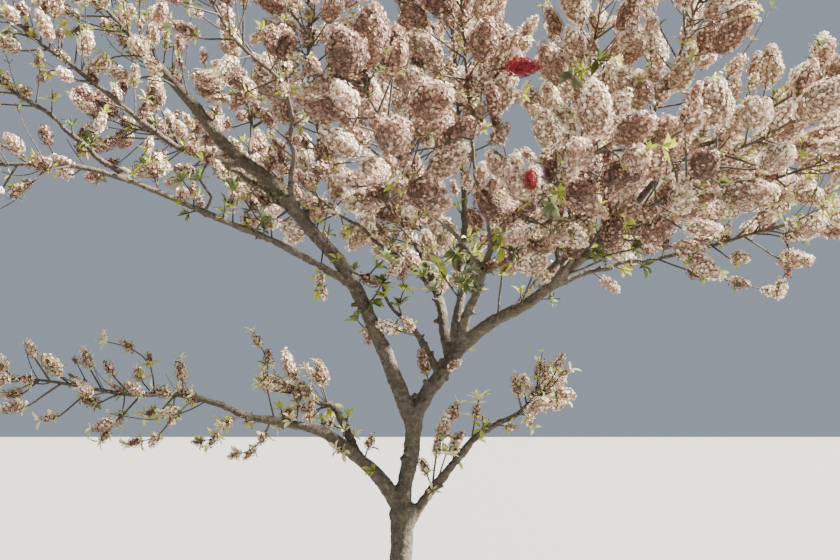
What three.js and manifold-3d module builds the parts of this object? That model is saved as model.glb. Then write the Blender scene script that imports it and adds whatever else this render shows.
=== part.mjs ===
// An apple tree in full blossom, rooted in level ground: a short forked trunk, crooked boughs and
// masses of twigs that carry oval tufts of blossom and young leaves. Millimetres, +Z up. The origin
// is the middle of the flat cut under the trunk, at ground level.
//
// Every bough leaves its parent at a share of the parent's length and runs to its tip on a line that
// is bowed by its lift. A mass of blossom starts at the tip of its bough. Its stem carries on from
// there, and side twigs leave the stem round a golden-angle spiral and curve up, each to one tuft.
import * as THREE from "three";
import { mergeVertices } from "three/addons/utils/BufferGeometryUtils.js";
import Module from "manifold-3d";

const wasm = await Module();
wasm.setup();

// Trunk: height to the fork, and the width of the stem at named heights.
const TRUNK_HEIGHT = 850;
const TRUNK_LEAN = 22;
const TRUNK_SIDES = 16;
const TRUNK_POINTS = 8;
const TRUNK_BARS = 17;
const TRUNK_WIDTHS = [
  // [height, radius]
  [0, 112],
  [45, 98],
  [140, 84],
  [330, 75],
  [540, 72],
  [680, 78],
  [760, 90],
  [815, 78],
  [TRUNK_HEIGHT, 46],
];
const ROOT_LOBES = 5;
const ROOT_LOBE_DEPTH = 0.16;
const ROOT_LOBE_HEIGHT = 110;

// Boughs: how they are divided, and how crooked they are.
const BOUGH_STEPS = 6;
const sidesOf = (foot) => (foot > 40 ? 8 : foot > 24 ? 6 : 5);
const BOUGH_CROOK = 0.018;
const EVEN_PEAK = 0.5;
const CLEARANCE = 0.35;
const WELD = 0.001;
const TINY = 1e-9;
const STEM_GAP = 0.3;

// Masses: the stem, its side twigs, and the tufts and leaves on them.
const STEM_STEPS = 5;
const STEM_SIDES = 4;
const STEM_TIP_RADIUS = 5;
const STEM_CROOK = 0.02;
const TUFT_SIDES = 5;
const TWIG_RADIUS = 7;
const NECK_RADIUS = 5;
const TWIGS_PER_MM = 0.015;
const FEWEST_TWIGS = 12;
const BUILT_EVERY = 2;
const TWIG_START = 0.06;
const TWIG_LEAST = 0.45;
const TWIG_MOST = 0.85;
const TWIG_CUTS = [1, 0.8, 0.6, 0.4];
const SWELL_MIDDLE = 0.45;
const SWELL_REACH = 0.8;
const SWELL_LEAST = 0.1;
const GOLDEN_ANGLE = Math.PI * (3 - Math.sqrt(5));
const TURN_JITTER = 0.6;
const TILT_AT_FOOT = 1.15;
const TILT_AT_TIP = 0.6;
const TILT_JITTER = 0.3;
const TWIG_RISE = 0.5;
const DROOP_SHARE = 0.16;
const TUFT_HALF_LENGTH = 175;
const TUFT_RADIUS = 115;
const TUFT_LEAST = 0.76;
const TUFT_OVERLAP = 15;
const END_TUFT_GRIP = 40;
const END_TUFT_REACH = 240;
const END_TUFT_SIZES = [1, 0.85, 0.7, 0.55];
const TUFT_RINGS = [
  // [share of the tuft's length, share of its radius]
  [0.24, 0.88],
  [0.68, 1],
  [1, 0],
];
const LEAF_LENGTH = 150;
const LEAF_WIDTH = 62;
const LEAF_THICKNESS = 6;
const LEAF_LEAN = 0.6;
const LEAF_SINK = 0.5;
const LEAVES_PER_MASS = 2;
const SEEDS_PER_MASS = 1000;
const LEAF_SEED = 500;
const SPACE_MARGIN = 260;
const SPACE_SHIFT = 110;
const APART = 2;

const UP = new THREE.Vector3(0, 0, 1);

// A bough's name, the limb it leaves and where on it, its tip, how high its line is bowed and at what
// share of its length the bow peaks, and its radius at foot and tip. bears is the mass at its tip: the
// furthest point of the mass, how far it spreads round its stem, and the size of its tufts.
const BOUGHS = [
  {
    name: "low_left_bough", from: "trunk", at: 0.9,
    tip: [-1120, -400, 1470], lift: 200, peak: 0.4, foot: 52, end: 20,
    bears: { tip: [-2600, -700, 1640], spread: 310, bloom: 0.56 },
  },
  {
    name: "low_left_spur", from: "low_left_bough", at: 0.27,
    tip: [-420, 40, 1420], lift: 20, foot: 35, end: 22,
    bears: { tip: [-820, 90, 1620], spread: 280, bloom: 0.5 },
  },
  {
    name: "low_right_bough", from: "trunk", at: 0.67,
    tip: [740, 90, 1380], lift: 150, foot: 38, end: 19,
    bears: { tip: [1100, 220, 1650], spread: 290, bloom: 0.55 },
  },
  {
    name: "centre_stem", from: "trunk", at: 0.86,
    tip: [100, 0, 1450], lift: 0, foot: 56, end: 52,
  },
  {
    name: "left_main_bough", from: "centre_stem", at: 0.82,
    tip: [-1320, -400, 3380], lift: 310, peak: 0.4, foot: 50, end: 40,
    bears: { tip: [-2130, -520, 4240], spread: 400, bloom: 0.72 },
  },
  {
    name: "right_main_bough", from: "centre_stem", at: 0.95,
    tip: [400, 0, 1860], lift: -10, foot: 52, end: 48,
  },
  {
    name: "left_long_bough", from: "left_main_bough", at: 0.3,
    tip: [-1800, -850, 2870], lift: 55, foot: 26, end: 17,
    bears: { tip: [-2920, -1150, 2880], spread: 330, bloom: 0.6 },
  },
  {
    name: "left_middle_bough", from: "left_main_bough", at: 0.76,
    tip: [-1780, -690, 3370], lift: -90, foot: 25, end: 17,
    bears: { tip: [-2600, -850, 4000], spread: 350, bloom: 0.64 },
  },
  {
    name: "left_back_bough", from: "left_main_bough", at: 0.5,
    tip: [-1250, 450, 3150], lift: 40, foot: 28, end: 16,
    bears: { tip: [-2500, 1250, 3800], spread: 480, bloom: 0.88 },
  },
  {
    name: "left_far_bough", from: "left_long_bough", at: 0.88,
    tip: [-2220, -800, 3290], lift: 0, foot: 19, end: 15,
    bears: { tip: [-2960, -650, 3790], spread: 320, bloom: 0.6 },
  },
  {
    name: "left_back_riser", from: "left_back_bough", at: 0.7,
    tip: [-1120, 720, 3450], lift: -30, foot: 18, end: 13,
    bears: { tip: [-1400, 1350, 4420], spread: 450 },
  },
  {
    name: "left_riser", from: "left_main_bough", at: 0.5,
    tip: [-560, -60, 3000], lift: -20, foot: 24, end: 15,
    bears: { tip: [-680, 80, 4720], spread: 460, bloom: 0.88 },
  },
  {
    name: "left_front_bough", from: "left_main_bough", at: 0.55,
    tip: [-660, -760, 3250], lift: 40, foot: 22, end: 14,
    bears: { tip: [-1350, -1950, 4150], spread: 400, bloom: 0.74 },
  },
  {
    name: "rear_bough", from: "right_main_bough", at: 0.8,
    tip: [120, 800, 2600], lift: 90, foot: 42, end: 20,
    bears: { tip: [-250, 2450, 3450], spread: 500 },
  },
  {
    name: "rear_left_bough", from: "rear_bough", at: 0.5,
    tip: [-400, 1000, 2850], lift: 30, foot: 20, end: 13,
    bears: { tip: [-1500, 2250, 3600], spread: 480 },
  },
  {
    name: "rear_right_bough", from: "rear_bough", at: 0.45,
    tip: [620, 1000, 2650], lift: 40, foot: 22, end: 14,
    bears: { tip: [1250, 2500, 3250], spread: 500 },
  },
  {
    name: "rear_riser", from: "rear_bough", at: 0.7,
    tip: [100, 850, 3050], lift: -20, foot: 20, end: 13,
    bears: { tip: [50, 1200, 4550], spread: 470 },
  },
  {
    name: "front_bough", from: "right_main_bough", at: 0.95,
    tip: [690, -500, 2600], lift: 110, foot: 36, end: 18,
    bears: { tip: [1250, -2050, 2900], spread: 480 },
  },
  {
    name: "front_left_bough", from: "front_bough", at: 0.5,
    tip: [170, -700, 2650], lift: 40, foot: 18, end: 13,
    bears: { tip: [-250, -2450, 3200], spread: 480 },
  },
  {
    name: "front_riser", from: "front_bough", at: 0.75,
    tip: [460, -650, 3000], lift: -20, foot: 18, end: 13,
    bears: { tip: [350, -1400, 4250], spread: 450 },
  },
  {
    name: "right_long_bough", from: "right_main_bough", at: 0.97,
    tip: [1650, -480, 2920], lift: -80, foot: 46, end: 20,
    bears: { tip: [2680, -1020, 3500], spread: 400, bloom: 0.8 },
  },
  {
    name: "right_middle_bough", from: "right_long_bough", at: 0.66,
    tip: [1950, -400, 2760], lift: 20, foot: 22, end: 14,
    bears: { tip: [3060, -700, 3130], spread: 350, bloom: 0.72 },
  },
  {
    name: "right_low_bough", from: "right_long_bough", at: 0.43,
    tip: [1750, -260, 2430], lift: 30, foot: 22, end: 14,
    bears: { tip: [2800, -560, 2680], spread: 380, bloom: 0.74 },
  },
  {
    name: "right_front_bough", from: "right_long_bough", at: 0.48,
    tip: [1380, -780, 2600], lift: 40, foot: 20, end: 13,
    bears: { tip: [2250, -2050, 3050], spread: 460 },
  },
  {
    name: "right_front_riser", from: "right_long_bough", at: 0.8,
    tip: [1540, -720, 3150], lift: -10, foot: 17, end: 12,
    bears: { tip: [1850, -1450, 4100], spread: 420 },
  },
  {
    name: "right_riser", from: "right_long_bough", at: 0.52,
    tip: [1150, -110, 2900], lift: -50, foot: 25, end: 15,
    bears: { tip: [1420, -100, 4450], spread: 470 },
  },
  {
    name: "right_back_bough", from: "right_long_bough", at: 0.28,
    tip: [1350, 520, 2650], lift: 50, foot: 28, end: 16,
    bears: { tip: [2300, 1650, 3250], spread: 490 },
  },
  {
    name: "right_far_bough", from: "right_back_bough", at: 0.66,
    tip: [1850, 320, 2850], lift: 20, foot: 16, end: 12,
    bears: { tip: [3000, 330, 3300], spread: 430 },
  },
  {
    name: "right_back_riser", from: "right_back_bough", at: 0.55,
    tip: [1130, 720, 3150], lift: -30, foot: 18, end: 13,
    bears: { tip: [1400, 1200, 4300], spread: 450 },
  },
  {
    name: "centre_riser", from: "right_main_bough", at: 0.9,
    tip: [430, 60, 2950], lift: 0, foot: 37, end: 20,
    bears: { tip: [230, 120, 4950], spread: 480 },
  },
  {
    name: "fork_spur", from: "right_main_bough", at: 0.6,
    tip: [0, -30, 2060], lift: 20, foot: 30, end: 17,
  },
];

const barkMaterial = new THREE.MeshStandardMaterial({ color: 0x6b5a49, roughness: 0.9, metalness: 0 });
const stemMaterial = new THREE.MeshStandardMaterial({ color: 0x7a6654, roughness: 0.85, metalness: 0 });
const blossomMaterial = new THREE.MeshStandardMaterial({ color: 0xd9b3a6, roughness: 0.8, metalness: 0 });

// A stream of even random numbers from 0 to 1 that is the same for the same seed.
function randomStream(seed) {
  let state = seed >>> 0;
  return () => {
    state = (state + 0x6d2b79f5) >>> 0;
    let mixed = Math.imul(state ^ (state >>> 15), state | 1);
    mixed ^= mixed + Math.imul(mixed ^ (mixed >>> 7), mixed | 61);
    return ((mixed ^ (mixed >>> 14)) >>> 0) / 4294967296;
  };
}

// The radius of the trunk at a height, and its leaning middle there.
function trunkRadius(height) {
  const above = Math.max(1, TRUNK_WIDTHS.findIndex(([level]) => level >= height));
  const [low, radiusLow] = TRUNK_WIDTHS[above - 1];
  const [high, radiusHigh] = TRUNK_WIDTHS[above];
  return THREE.MathUtils.lerp(radiusLow, radiusHigh, (height - low) / (high - low));
}

function trunkMiddle(height) {
  return new THREE.Vector3(TRUNK_LEAN * (height / TRUNK_HEIGHT) ** 2, 0, height);
}

// How much of its lift a bow has at a share of its length: all of it at its peak, none at its ends.
function bowAt(share, peak) {
  const fall = (1 - peak) / peak;
  return (share * (1 - share) ** fall) / (peak * (1 - peak) ** fall);
}

// The points of a limb's middle line: bowed by its lift, and crooked by seeded steps to the side.
function limbLine(start, tip, lift, peak, crook, steps, random) {
  const length = start.distanceTo(tip);
  return Array.from({ length: steps + 1 }, (_, step) => {
    const share = step / steps;
    const point = start.clone().lerp(tip, share);
    point.z += lift * bowAt(share, peak);
    const inside = step > 0 && step < steps ? crook * length : 0;
    const [aside, ahead, over] = [random(), random(), random()];
    return point.add(new THREE.Vector3(aside - 0.5, ahead - 0.5, over - 0.5).multiplyScalar(2 * inside));
  });
}

function pointAlong(line, share) {
  const place = Math.min(share * (line.length - 1), line.length - 1.000001);
  const step = Math.floor(place);
  return line[step].clone().lerp(line[step + 1], place - step);
}

function directionAlong(line, share) {
  const step = Math.min(Math.floor(share * (line.length - 1)), line.length - 2);
  return line[step + 1].clone().sub(line[step]).normalize();
}

function sideways(direction) {
  const other = Math.abs(direction.z) < 0.9 ? UP : new THREE.Vector3(1, 0, 0);
  return new THREE.Vector3().crossVectors(direction, other).normalize();
}

// A closed geometry as a solid that can be joined and cut, and back again. Faces that a ring of no
// width has closed up are left out.
function solidOf(geometry) {
  geometry.deleteAttribute("normal");
  geometry.deleteAttribute("uv");
  const merged = mergeVertices(geometry, WELD);
  const corners = [];
  for (let face = 0; face < merged.index.count; face += 3) {
    const [a, b, c] = [0, 1, 2].map((corner) => merged.index.getX(face + corner));
    if (a !== b && b !== c && c !== a) corners.push(a, b, c);
  }
  return new wasm.Manifold(
    new wasm.Mesh({
      numProp: 3,
      vertProperties: merged.getAttribute("position").array,
      triVerts: new Uint32Array(corners),
    }),
  );
}

function geometryOf(solid) {
  const { vertProperties, triVerts } = solid.getMesh();
  const geometry = new THREE.BufferGeometry();
  geometry.setAttribute("position", new THREE.BufferAttribute(vertProperties, 3));
  geometry.setIndex(new THREE.BufferAttribute(triVerts, 1));
  geometry.computeVertexNormals();
  return geometry;
}

// The largest piece of a solid, without the loose scraps that a cut leaves.
function largestPiece(solid) {
  return solid.decompose().reduce((best, piece) => (piece.volume() > best.volume() ? piece : best));
}

// The place of a cylinder's vertex on its ring when neighbours are drawn together in pairs, which
// leaves three corners.
function cornerOfThree(vertex, sides) {
  if (Math.hypot(vertex.x, vertex.z) < 0.5) return vertex;
  const column = Math.round(sides + (sides * Math.atan2(vertex.x, vertex.z)) / (2 * Math.PI)) % sides;
  const angle = (Math.floor(column / 2) * 2 * Math.PI) / 3;
  return { x: Math.sin(angle), y: vertex.y, z: Math.cos(angle) };
}

// A round bar along a line of points, with a radius for each: a cylinder bent ring by ring. Its
// first ring faces a given way, or else along the line, and its first few rings can be three-sided.
function barGeometry(line, radii, sides, { facing = null, threeSided = 0 } = {}) {
  const rings = line.length - 1;
  const geometry = new THREE.CylinderGeometry(1, 1, 1, sides, rings);
  const position = geometry.getAttribute("position");
  const frames = [];
  let across = null;
  line.forEach((point, ring) => {
    const before = line[Math.max(ring - 1, 0)];
    const after = line[Math.min(ring + 1, rings)];
    const along = ring === 0 && facing ? facing.clone() : after.clone().sub(before).normalize();
    across = across ? across.addScaledVector(along, -across.dot(along)).normalize() : sideways(along);
    frames.push({ across: across.clone(), over: new THREE.Vector3().crossVectors(across, along) });
  });
  const vertex = new THREE.Vector3();
  for (let index = 0; index < position.count; index++) {
    vertex.fromBufferAttribute(position, index);
    const ring = Math.round((vertex.y + 0.5) * rings);
    const { x, z } = ring < threeSided ? cornerOfThree(vertex, sides) : vertex;
    const place = line[ring]
      .clone()
      .addScaledVector(frames[ring].across, x * radii[ring])
      .addScaledVector(frames[ring].over, z * radii[ring]);
    position.setXYZ(index, place.x, place.y, place.z);
  }
  return geometry;
}

function taper(foot, end, steps) {
  return Array.from({ length: steps + 1 }, (_, step) => THREE.MathUtils.lerp(foot, end, step / steps));
}

// The trunk: a turned profile, spread into root lobes at its foot and leaning a little.
function trunkGeometry(extra) {
  const profile = [new THREE.Vector2(0, 0)];
  TRUNK_WIDTHS.forEach(([height, radius]) => profile.push(new THREE.Vector2(radius + extra, height)));
  profile.push(new THREE.Vector2(0, TRUNK_HEIGHT + extra));
  profile[profile.length - 2].y += extra;
  const geometry = new THREE.LatheGeometry(profile, TRUNK_SIDES);
  geometry.rotateX(Math.PI / 2);
  const position = geometry.getAttribute("position");
  for (let index = 0; index < position.count; index++) {
    const [x, y, z] = [position.getX(index), position.getY(index), position.getZ(index)];
    const fade = Math.exp(-z / ROOT_LOBE_HEIGHT);
    const lobe = 1 + ROOT_LOBE_DEPTH * fade * Math.cos(ROOT_LOBES * Math.atan2(y, x));
    const middle = trunkMiddle(z);
    position.setXYZ(index, x * lobe + middle.x, y * lobe + middle.y, z);
  }
  return geometry;
}

// The shortest way between two straight stretches, each from a to b.
function gapBetween(first, second) {
  const along = first.b.clone().sub(first.a);
  const other = second.b.clone().sub(second.a);
  const apart = first.a.clone().sub(second.a);
  const [a, e, f] = [along.dot(along), other.dot(other), other.dot(apart)];
  const [c, b] = [along.dot(apart), along.dot(other)];
  const clamp = (value) => Math.min(1, Math.max(0, value));
  const denominator = a * e - b * b;
  let s = denominator > TINY ? clamp((b * f - c * e) / denominator) : 0;
  let t = (b * s + f) / Math.max(e, TINY);
  if (t < 0 || t > 1) {
    t = clamp(t);
    s = clamp((b * t - c) / Math.max(a, TINY));
  }
  return apart.addScaledVector(along, s).addScaledVector(other, -t).length();
}

// Everything placed so far, as round-ended bars, so that no mass touches a limb or another mass.
const placed = [];

function place(owner, a, b, radius) {
  placed.push({ owner, a, b, radius });
}

function isClear(owner, a, b, radius) {
  const isFar = (bar) => gapBetween({ a, b }, bar) > radius + bar.radius + APART;
  return placed.every((bar) => bar.owner === owner || isFar(bar));
}

// Whether a tuft stands free of its own mass's other tufts.
function isLoose(mass, a, b, radius) {
  return mass.tufts.every((tuft) => gapBetween({ a, b }, tuft) > radius + tuft.radius - TUFT_OVERLAP);
}

// The space of a mass: an egg round its stem, up to where a neighbour's egg is nearer.
function spaceOf(line, spread) {
  const [start, end] = [line[0], line[line.length - 1]];
  const axis = end.clone().sub(start).normalize();
  const reach = start.distanceTo(end) / 2 + SPACE_MARGIN;
  return { middle: start.clone().lerp(end, 0.5).addScaledVector(axis, SPACE_SHIFT), axis, reach, spread };
}

function depthIn(space, point, radius) {
  const from = point.clone().sub(space.middle);
  const along = from.dot(space.axis);
  const aside = Math.sqrt(Math.max(from.lengthSq() - along * along, 0));
  return Math.hypot(along / (space.reach - radius), aside / (space.spread - radius));
}

function isOwn(mass, point, radius) {
  if (depthIn(mass.space, point, radius) > 1) return false;
  const own = depthIn(mass.space, point, 0);
  return masses.every((other) => other === mass || depthIn(other.space, point, 0) > own);
}

// One side twig of a mass: where it leaves the stem, how it runs, and its tuft.
function twigOf(mass, number) {
  const random = randomStream(mass.seed * SEEDS_PER_MASS + number);
  const share = THREE.MathUtils.lerp(TWIG_START, 1, (number + 0.5) / mass.twigCount);
  const foot = pointAlong(mass.line, share);
  const along = directionAlong(mass.line, share);
  const turn = number * GOLDEN_ANGLE + TURN_JITTER * (random() - 0.5);
  const tilt = THREE.MathUtils.lerp(TILT_AT_FOOT, TILT_AT_TIP, share) + TILT_JITTER * (random() - 0.5);
  const out = sideways(along).applyAxisAngle(along, turn);
  const heading = along.clone().multiplyScalar(Math.cos(tilt)).addScaledVector(out, Math.sin(tilt));
  const swell = Math.sqrt(Math.max(1 - ((share - SWELL_MIDDLE) / SWELL_REACH) ** 2, SWELL_LEAST));
  const length = mass.space.spread * swell * THREE.MathUtils.lerp(TWIG_LEAST, TWIG_MOST, random());
  const rise = random() < DROOP_SHARE ? -TWIG_RISE : TWIG_RISE;
  const size = mass.bloom * THREE.MathUtils.lerp(TUFT_LEAST, 1, random());
  return { foot, heading, length, rise, size };
}

function leafGeometry(root, heading, spin) {
  const geometry = new THREE.OctahedronGeometry(1, 0);
  geometry.scale(LEAF_WIDTH / 2, LEAF_THICKNESS / 2, LEAF_LENGTH / 2);
  geometry.translate(0, 0, LEAF_LENGTH / 2);
  geometry.rotateZ(spin);
  geometry.applyQuaternion(new THREE.Quaternion().setFromUnitVectors(UP, heading));
  geometry.translate(root.x, root.y, root.z);
  return geometry;
}

// An oval tuft of blossom on its neck, as one bar with the twig that carries it.
function tuftGeometry(twigEnds, neckRadii, axis, length, radius) {
  const neck = twigEnds[twigEnds.length - 1];
  const line = [...twigEnds];
  const radii = [...neckRadii];
  TUFT_RINGS.forEach(([along, wide]) => {
    line.push(neck.clone().addScaledVector(axis, along * length));
    radii.push(wide * radius);
  });
  return barGeometry(line, radii, TUFT_SIDES, { threeSided: twigEnds.length });
}

// Whether a tuft with its neck at a point has room, and its middle stretch.
function tuftRoom(mass, neck, axis, length, radius) {
  const [a, b] = [radius, length - radius].map((reach) => neck.clone().addScaledVector(axis, reach));
  const within = isOwn(mass, a, radius) && isOwn(mass, b, radius);
  const fits = within && isClear(mass.name, a, b, radius) && isLoose(mass, a, b, radius);
  return fits ? { a, b, axis, radius } : null;
}

// Grows one twig at the longest of its cuts for which there is room: a thin bar that leaves the stem,
// turns up at its neck and swells into an oval tuft of blossom.
function growTwig(mass, number) {
  const twig = twigOf(mass, number);
  const radius = TUFT_RADIUS * twig.size;
  const length = 2 * TUFT_HALF_LENGTH * twig.size;
  const axis = twig.heading.clone().addScaledVector(UP, twig.rise).normalize();
  for (const share of TWIG_CUTS) {
    const neck = twig.foot.clone().addScaledVector(twig.heading, twig.length * share);
    const tuft = tuftRoom(mass, neck, axis, length, radius);
    if (!tuft || !isClear(mass.name, twig.foot, neck, TWIG_RADIUS)) continue;
    place(mass.name, twig.foot, neck, TWIG_RADIUS);
    place(mass.name, tuft.a, tuft.b, radius);
    mass.tufts.push(tuft);
    return [tuftGeometry([twig.foot, neck], [TWIG_RADIUS, NECK_RADIUS], axis, length, radius)];
  }
  return [];
}

// The tuft at the very end of a mass's stem, smaller where there is less room.
function growEndTuft(mass) {
  const axis = directionAlong(mass.line, 1);
  const neck = pointAlong(mass.line, 1).addScaledVector(axis, -END_TUFT_GRIP);
  for (const size of END_TUFT_SIZES) {
    const radius = TUFT_RADIUS * mass.bloom * size;
    const length = 2 * TUFT_HALF_LENGTH * mass.bloom * size;
    const tuft = tuftRoom(mass, neck, axis, length, radius);
    if (!tuft) continue;
    place(mass.name, tuft.a, tuft.b, radius);
    mass.tufts.push(tuft);
    return [tuftGeometry([neck], [1], axis, length, radius)];
  }
  return [];
}

// A leaf that stands out of the shoulder of a tuft, its root sunk well in.
function growLeaf(mass, number) {
  if (!mass.tufts.length) return [];
  const random = randomStream(mass.seed * SEEDS_PER_MASS + LEAF_SEED + number);
  const tuft = mass.tufts[Math.floor(random() * mass.tufts.length)];
  const out = sideways(tuft.axis).applyAxisAngle(tuft.axis, random() * 2 * Math.PI);
  const heading = out.addScaledVector(tuft.axis, LEAF_LEAN).normalize();
  const root = tuft.a.clone().lerp(tuft.b, 0.5).addScaledVector(heading, tuft.radius * LEAF_SINK);
  const tip = root.clone().addScaledVector(heading, LEAF_LENGTH);
  if (!isOwn(mass, tip, 0) || !isClear(mass.name, root, tip, LEAF_WIDTH / 2)) return [];
  place(mass.name, root, tip, LEAF_WIDTH / 2);
  return [leafGeometry(root, heading, random() * Math.PI)];
}

function fused(geometries) {
  return largestPiece(geometries.map(solidOf).reduce((whole, piece) => whole.add(piece)));
}

const tree = new THREE.Group();
tree.name = "apple_tree";

function addNode(name, geometry, material) {
  const mesh = new THREE.Mesh(geometry, material);
  mesh.name = name;
  tree.add(mesh);
}

// Limbs, in the order in which they grow. Each is cut back where it enters an earlier one.
const trunkLine = (points) =>
  Array.from({ length: points + 1 }, (_, step) => trunkMiddle((TRUNK_HEIGHT * step) / points));
const lines = { trunk: trunkLine(TRUNK_POINTS) };
const cutters = [solidOf(trunkGeometry(CLEARANCE))];
addNode("trunk", geometryOf(solidOf(trunkGeometry(0))), barkMaterial);
const trunkBars = trunkLine(TRUNK_BARS);
trunkBars.slice(1).forEach((top, step) => {
  place("trunk", trunkBars[step], top, trunkRadius((trunkBars[step].z + top.z) / 2));
});

const masses = [];
BOUGHS.forEach((bough, index) => {
  const random = randomStream(index + 1);
  const start = pointAlong(lines[bough.from], bough.at);
  const { lift, peak = EVEN_PEAK } = bough;
  const aim = new THREE.Vector3(...bough.tip);
  const line = limbLine(start, aim, lift, peak, BOUGH_CROOK, BOUGH_STEPS, random);
  const radii = taper(bough.foot, bough.end, BOUGH_STEPS);
  lines[bough.name] = line;
  const whole = solidOf(barGeometry(line, radii, sidesOf(bough.foot)));
  const cut = cutters.reduce((rest, cutter) => rest.subtract(cutter), whole);
  addNode(bough.name, geometryOf(largestPiece(cut)), barkMaterial);

  const longer = line.map((point) => point.clone());
  longer[0].addScaledVector(directionAlong(line, 0), -CLEARANCE);
  longer[BOUGH_STEPS].addScaledVector(directionAlong(line, 1), CLEARANCE);
  const wider = radii.map((radius) => radius + CLEARANCE);
  cutters.push(solidOf(barGeometry(longer, wider, sidesOf(bough.foot))));
  line.slice(1).forEach((point, step) => place(bough.name, line[step], point, radii[step]));

  if (!bough.bears) return;
  const { tip, spread, bloom = 1 } = bough.bears;
  const ahead = directionAlong(line, 1);
  const root = line[BOUGH_STEPS].clone().addScaledVector(ahead, STEM_GAP);
  const reach = new THREE.Vector3(...tip).sub(root);
  const end = root.clone().addScaledVector(reach, 1 - (END_TUFT_REACH * bloom) / reach.length());
  const stem = limbLine(root, end, 0, EVEN_PEAK, STEM_CROOK, STEM_STEPS, random);
  const lead = root.distanceTo(stem[1]);
  stem[1].lerp(root.clone().addScaledVector(ahead, lead), 0.5);
  masses.push({
    name: `${bough.name.replace(/_bough$/, "")}_mass`,
    seed: index + 1,
    line: stem,
    foot: bough.end,
    ahead,
    bloom,
    space: spaceOf(stem, spread),
    twigCount: Math.max(FEWEST_TWIGS, Math.round(TWIGS_PER_MM * root.distanceTo(stem[STEM_STEPS]))),
    tufts: [],
  });
});

masses.forEach((mass) => {
  const radii = taper(mass.foot, STEM_TIP_RADIUS, STEM_STEPS);
  mass.line.slice(1).forEach((point, step) => place(mass.name, mass.line[step], point, radii[step]));
  mass.stem = barGeometry(mass.line, radii, STEM_SIDES, { facing: mass.ahead });
});

masses.forEach((mass) => {
  const grown = [mass.stem, ...growEndTuft(mass)];
  for (let number = 0; number < mass.twigCount; number += BUILT_EVERY) grown.push(...growTwig(mass, number));
  for (let number = 0; number < LEAVES_PER_MASS; number++) grown.push(...growLeaf(mass, number));
  addNode(mass.name, geometryOf(fused(grown)), blossomMaterial);
});

export default tree;
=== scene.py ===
# %% [markdown]
# # An apple tree in full blossom
#
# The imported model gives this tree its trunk, its boughs and a solid for each mass of twigs.
# Here those solids are the frame, and the looks are built round them: bark with its relief, fine
# twigs, a hundred thousand small flowers in oval tufts, and the first leaves. Lengths are in metres.

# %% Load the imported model
import math

import bmesh
import bpy
import numpy as np
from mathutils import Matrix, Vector


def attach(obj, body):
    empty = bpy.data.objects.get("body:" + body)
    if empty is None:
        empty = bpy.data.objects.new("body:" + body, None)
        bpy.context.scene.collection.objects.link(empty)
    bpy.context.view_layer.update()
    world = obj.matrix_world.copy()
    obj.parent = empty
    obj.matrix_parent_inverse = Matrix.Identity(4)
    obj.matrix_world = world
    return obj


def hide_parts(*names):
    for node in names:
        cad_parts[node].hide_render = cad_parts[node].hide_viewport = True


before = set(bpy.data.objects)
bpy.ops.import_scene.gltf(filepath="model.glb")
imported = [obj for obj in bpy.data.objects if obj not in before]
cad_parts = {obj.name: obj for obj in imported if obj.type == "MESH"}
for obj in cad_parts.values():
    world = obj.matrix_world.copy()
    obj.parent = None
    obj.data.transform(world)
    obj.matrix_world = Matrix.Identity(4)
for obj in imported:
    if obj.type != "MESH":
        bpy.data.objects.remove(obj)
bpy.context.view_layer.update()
MASS_NODES = [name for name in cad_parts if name.endswith("_mass")]
LIMB_NODES = [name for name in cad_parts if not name.endswith("_mass")]

# %% [markdown]
# ## The camera
#
# Eye height tells the scale of a picture: the horizon crosses everything at the height of the lens.
# A 50 mm lens at 1.5 m, tilted up a little so that the horizon sinks below the middle, stands about
# 8 m from the trunk. That is close enough for the crown to run out of the frame.

# %% Camera at eye height
EYE = (0.13, -7.78, 1.5)
TILT_UP = math.radians(5.87)

bpy.ops.object.camera_add(location=EYE, rotation=(math.pi / 2 + TILT_UP, 0, 0))
camera = bpy.context.object
camera.data.lens = 50
camera.data.sensor_width = 36
bpy.context.scene.camera = camera
print("camera at", tuple(camera.location))

# %% [markdown]
# ## The rule that the tree grows by
#
# Every bough leaves its parent at a share of the parent's length and runs to a named tip, bowed by
# its lift and a little crooked. A mass continues from the tip of its bough. The solids were grown by
# this same rule from the same seeds, so what is grown here lies where they lie. The random numbers
# come from a short stream that gives the same draws anywhere.

# %% Named sizes of the limbs
TRUNK_HEIGHT = 0.85
TRUNK_STEPS = 8
TRUNK_LEAN = 0.022
TRUNK_WIDTHS = [
    # (height, radius)
    (0, 0.112),
    (0.045, 0.098),
    (0.14, 0.084),
    (0.33, 0.075),
    (0.54, 0.072),
    (0.68, 0.078),
    (0.76, 0.09),
    (0.815, 0.078),
    (TRUNK_HEIGHT, 0.046),
]
BOUGH_STEPS = 6
BOUGH_CROOK = 0.018
STEM_STEPS = 5
STEM_GAP = 0.0003
STEM_TIP_RADIUS = 0.005
STEM_CROOK = 0.02
END_TUFT_ROOM = 0.24

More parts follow.
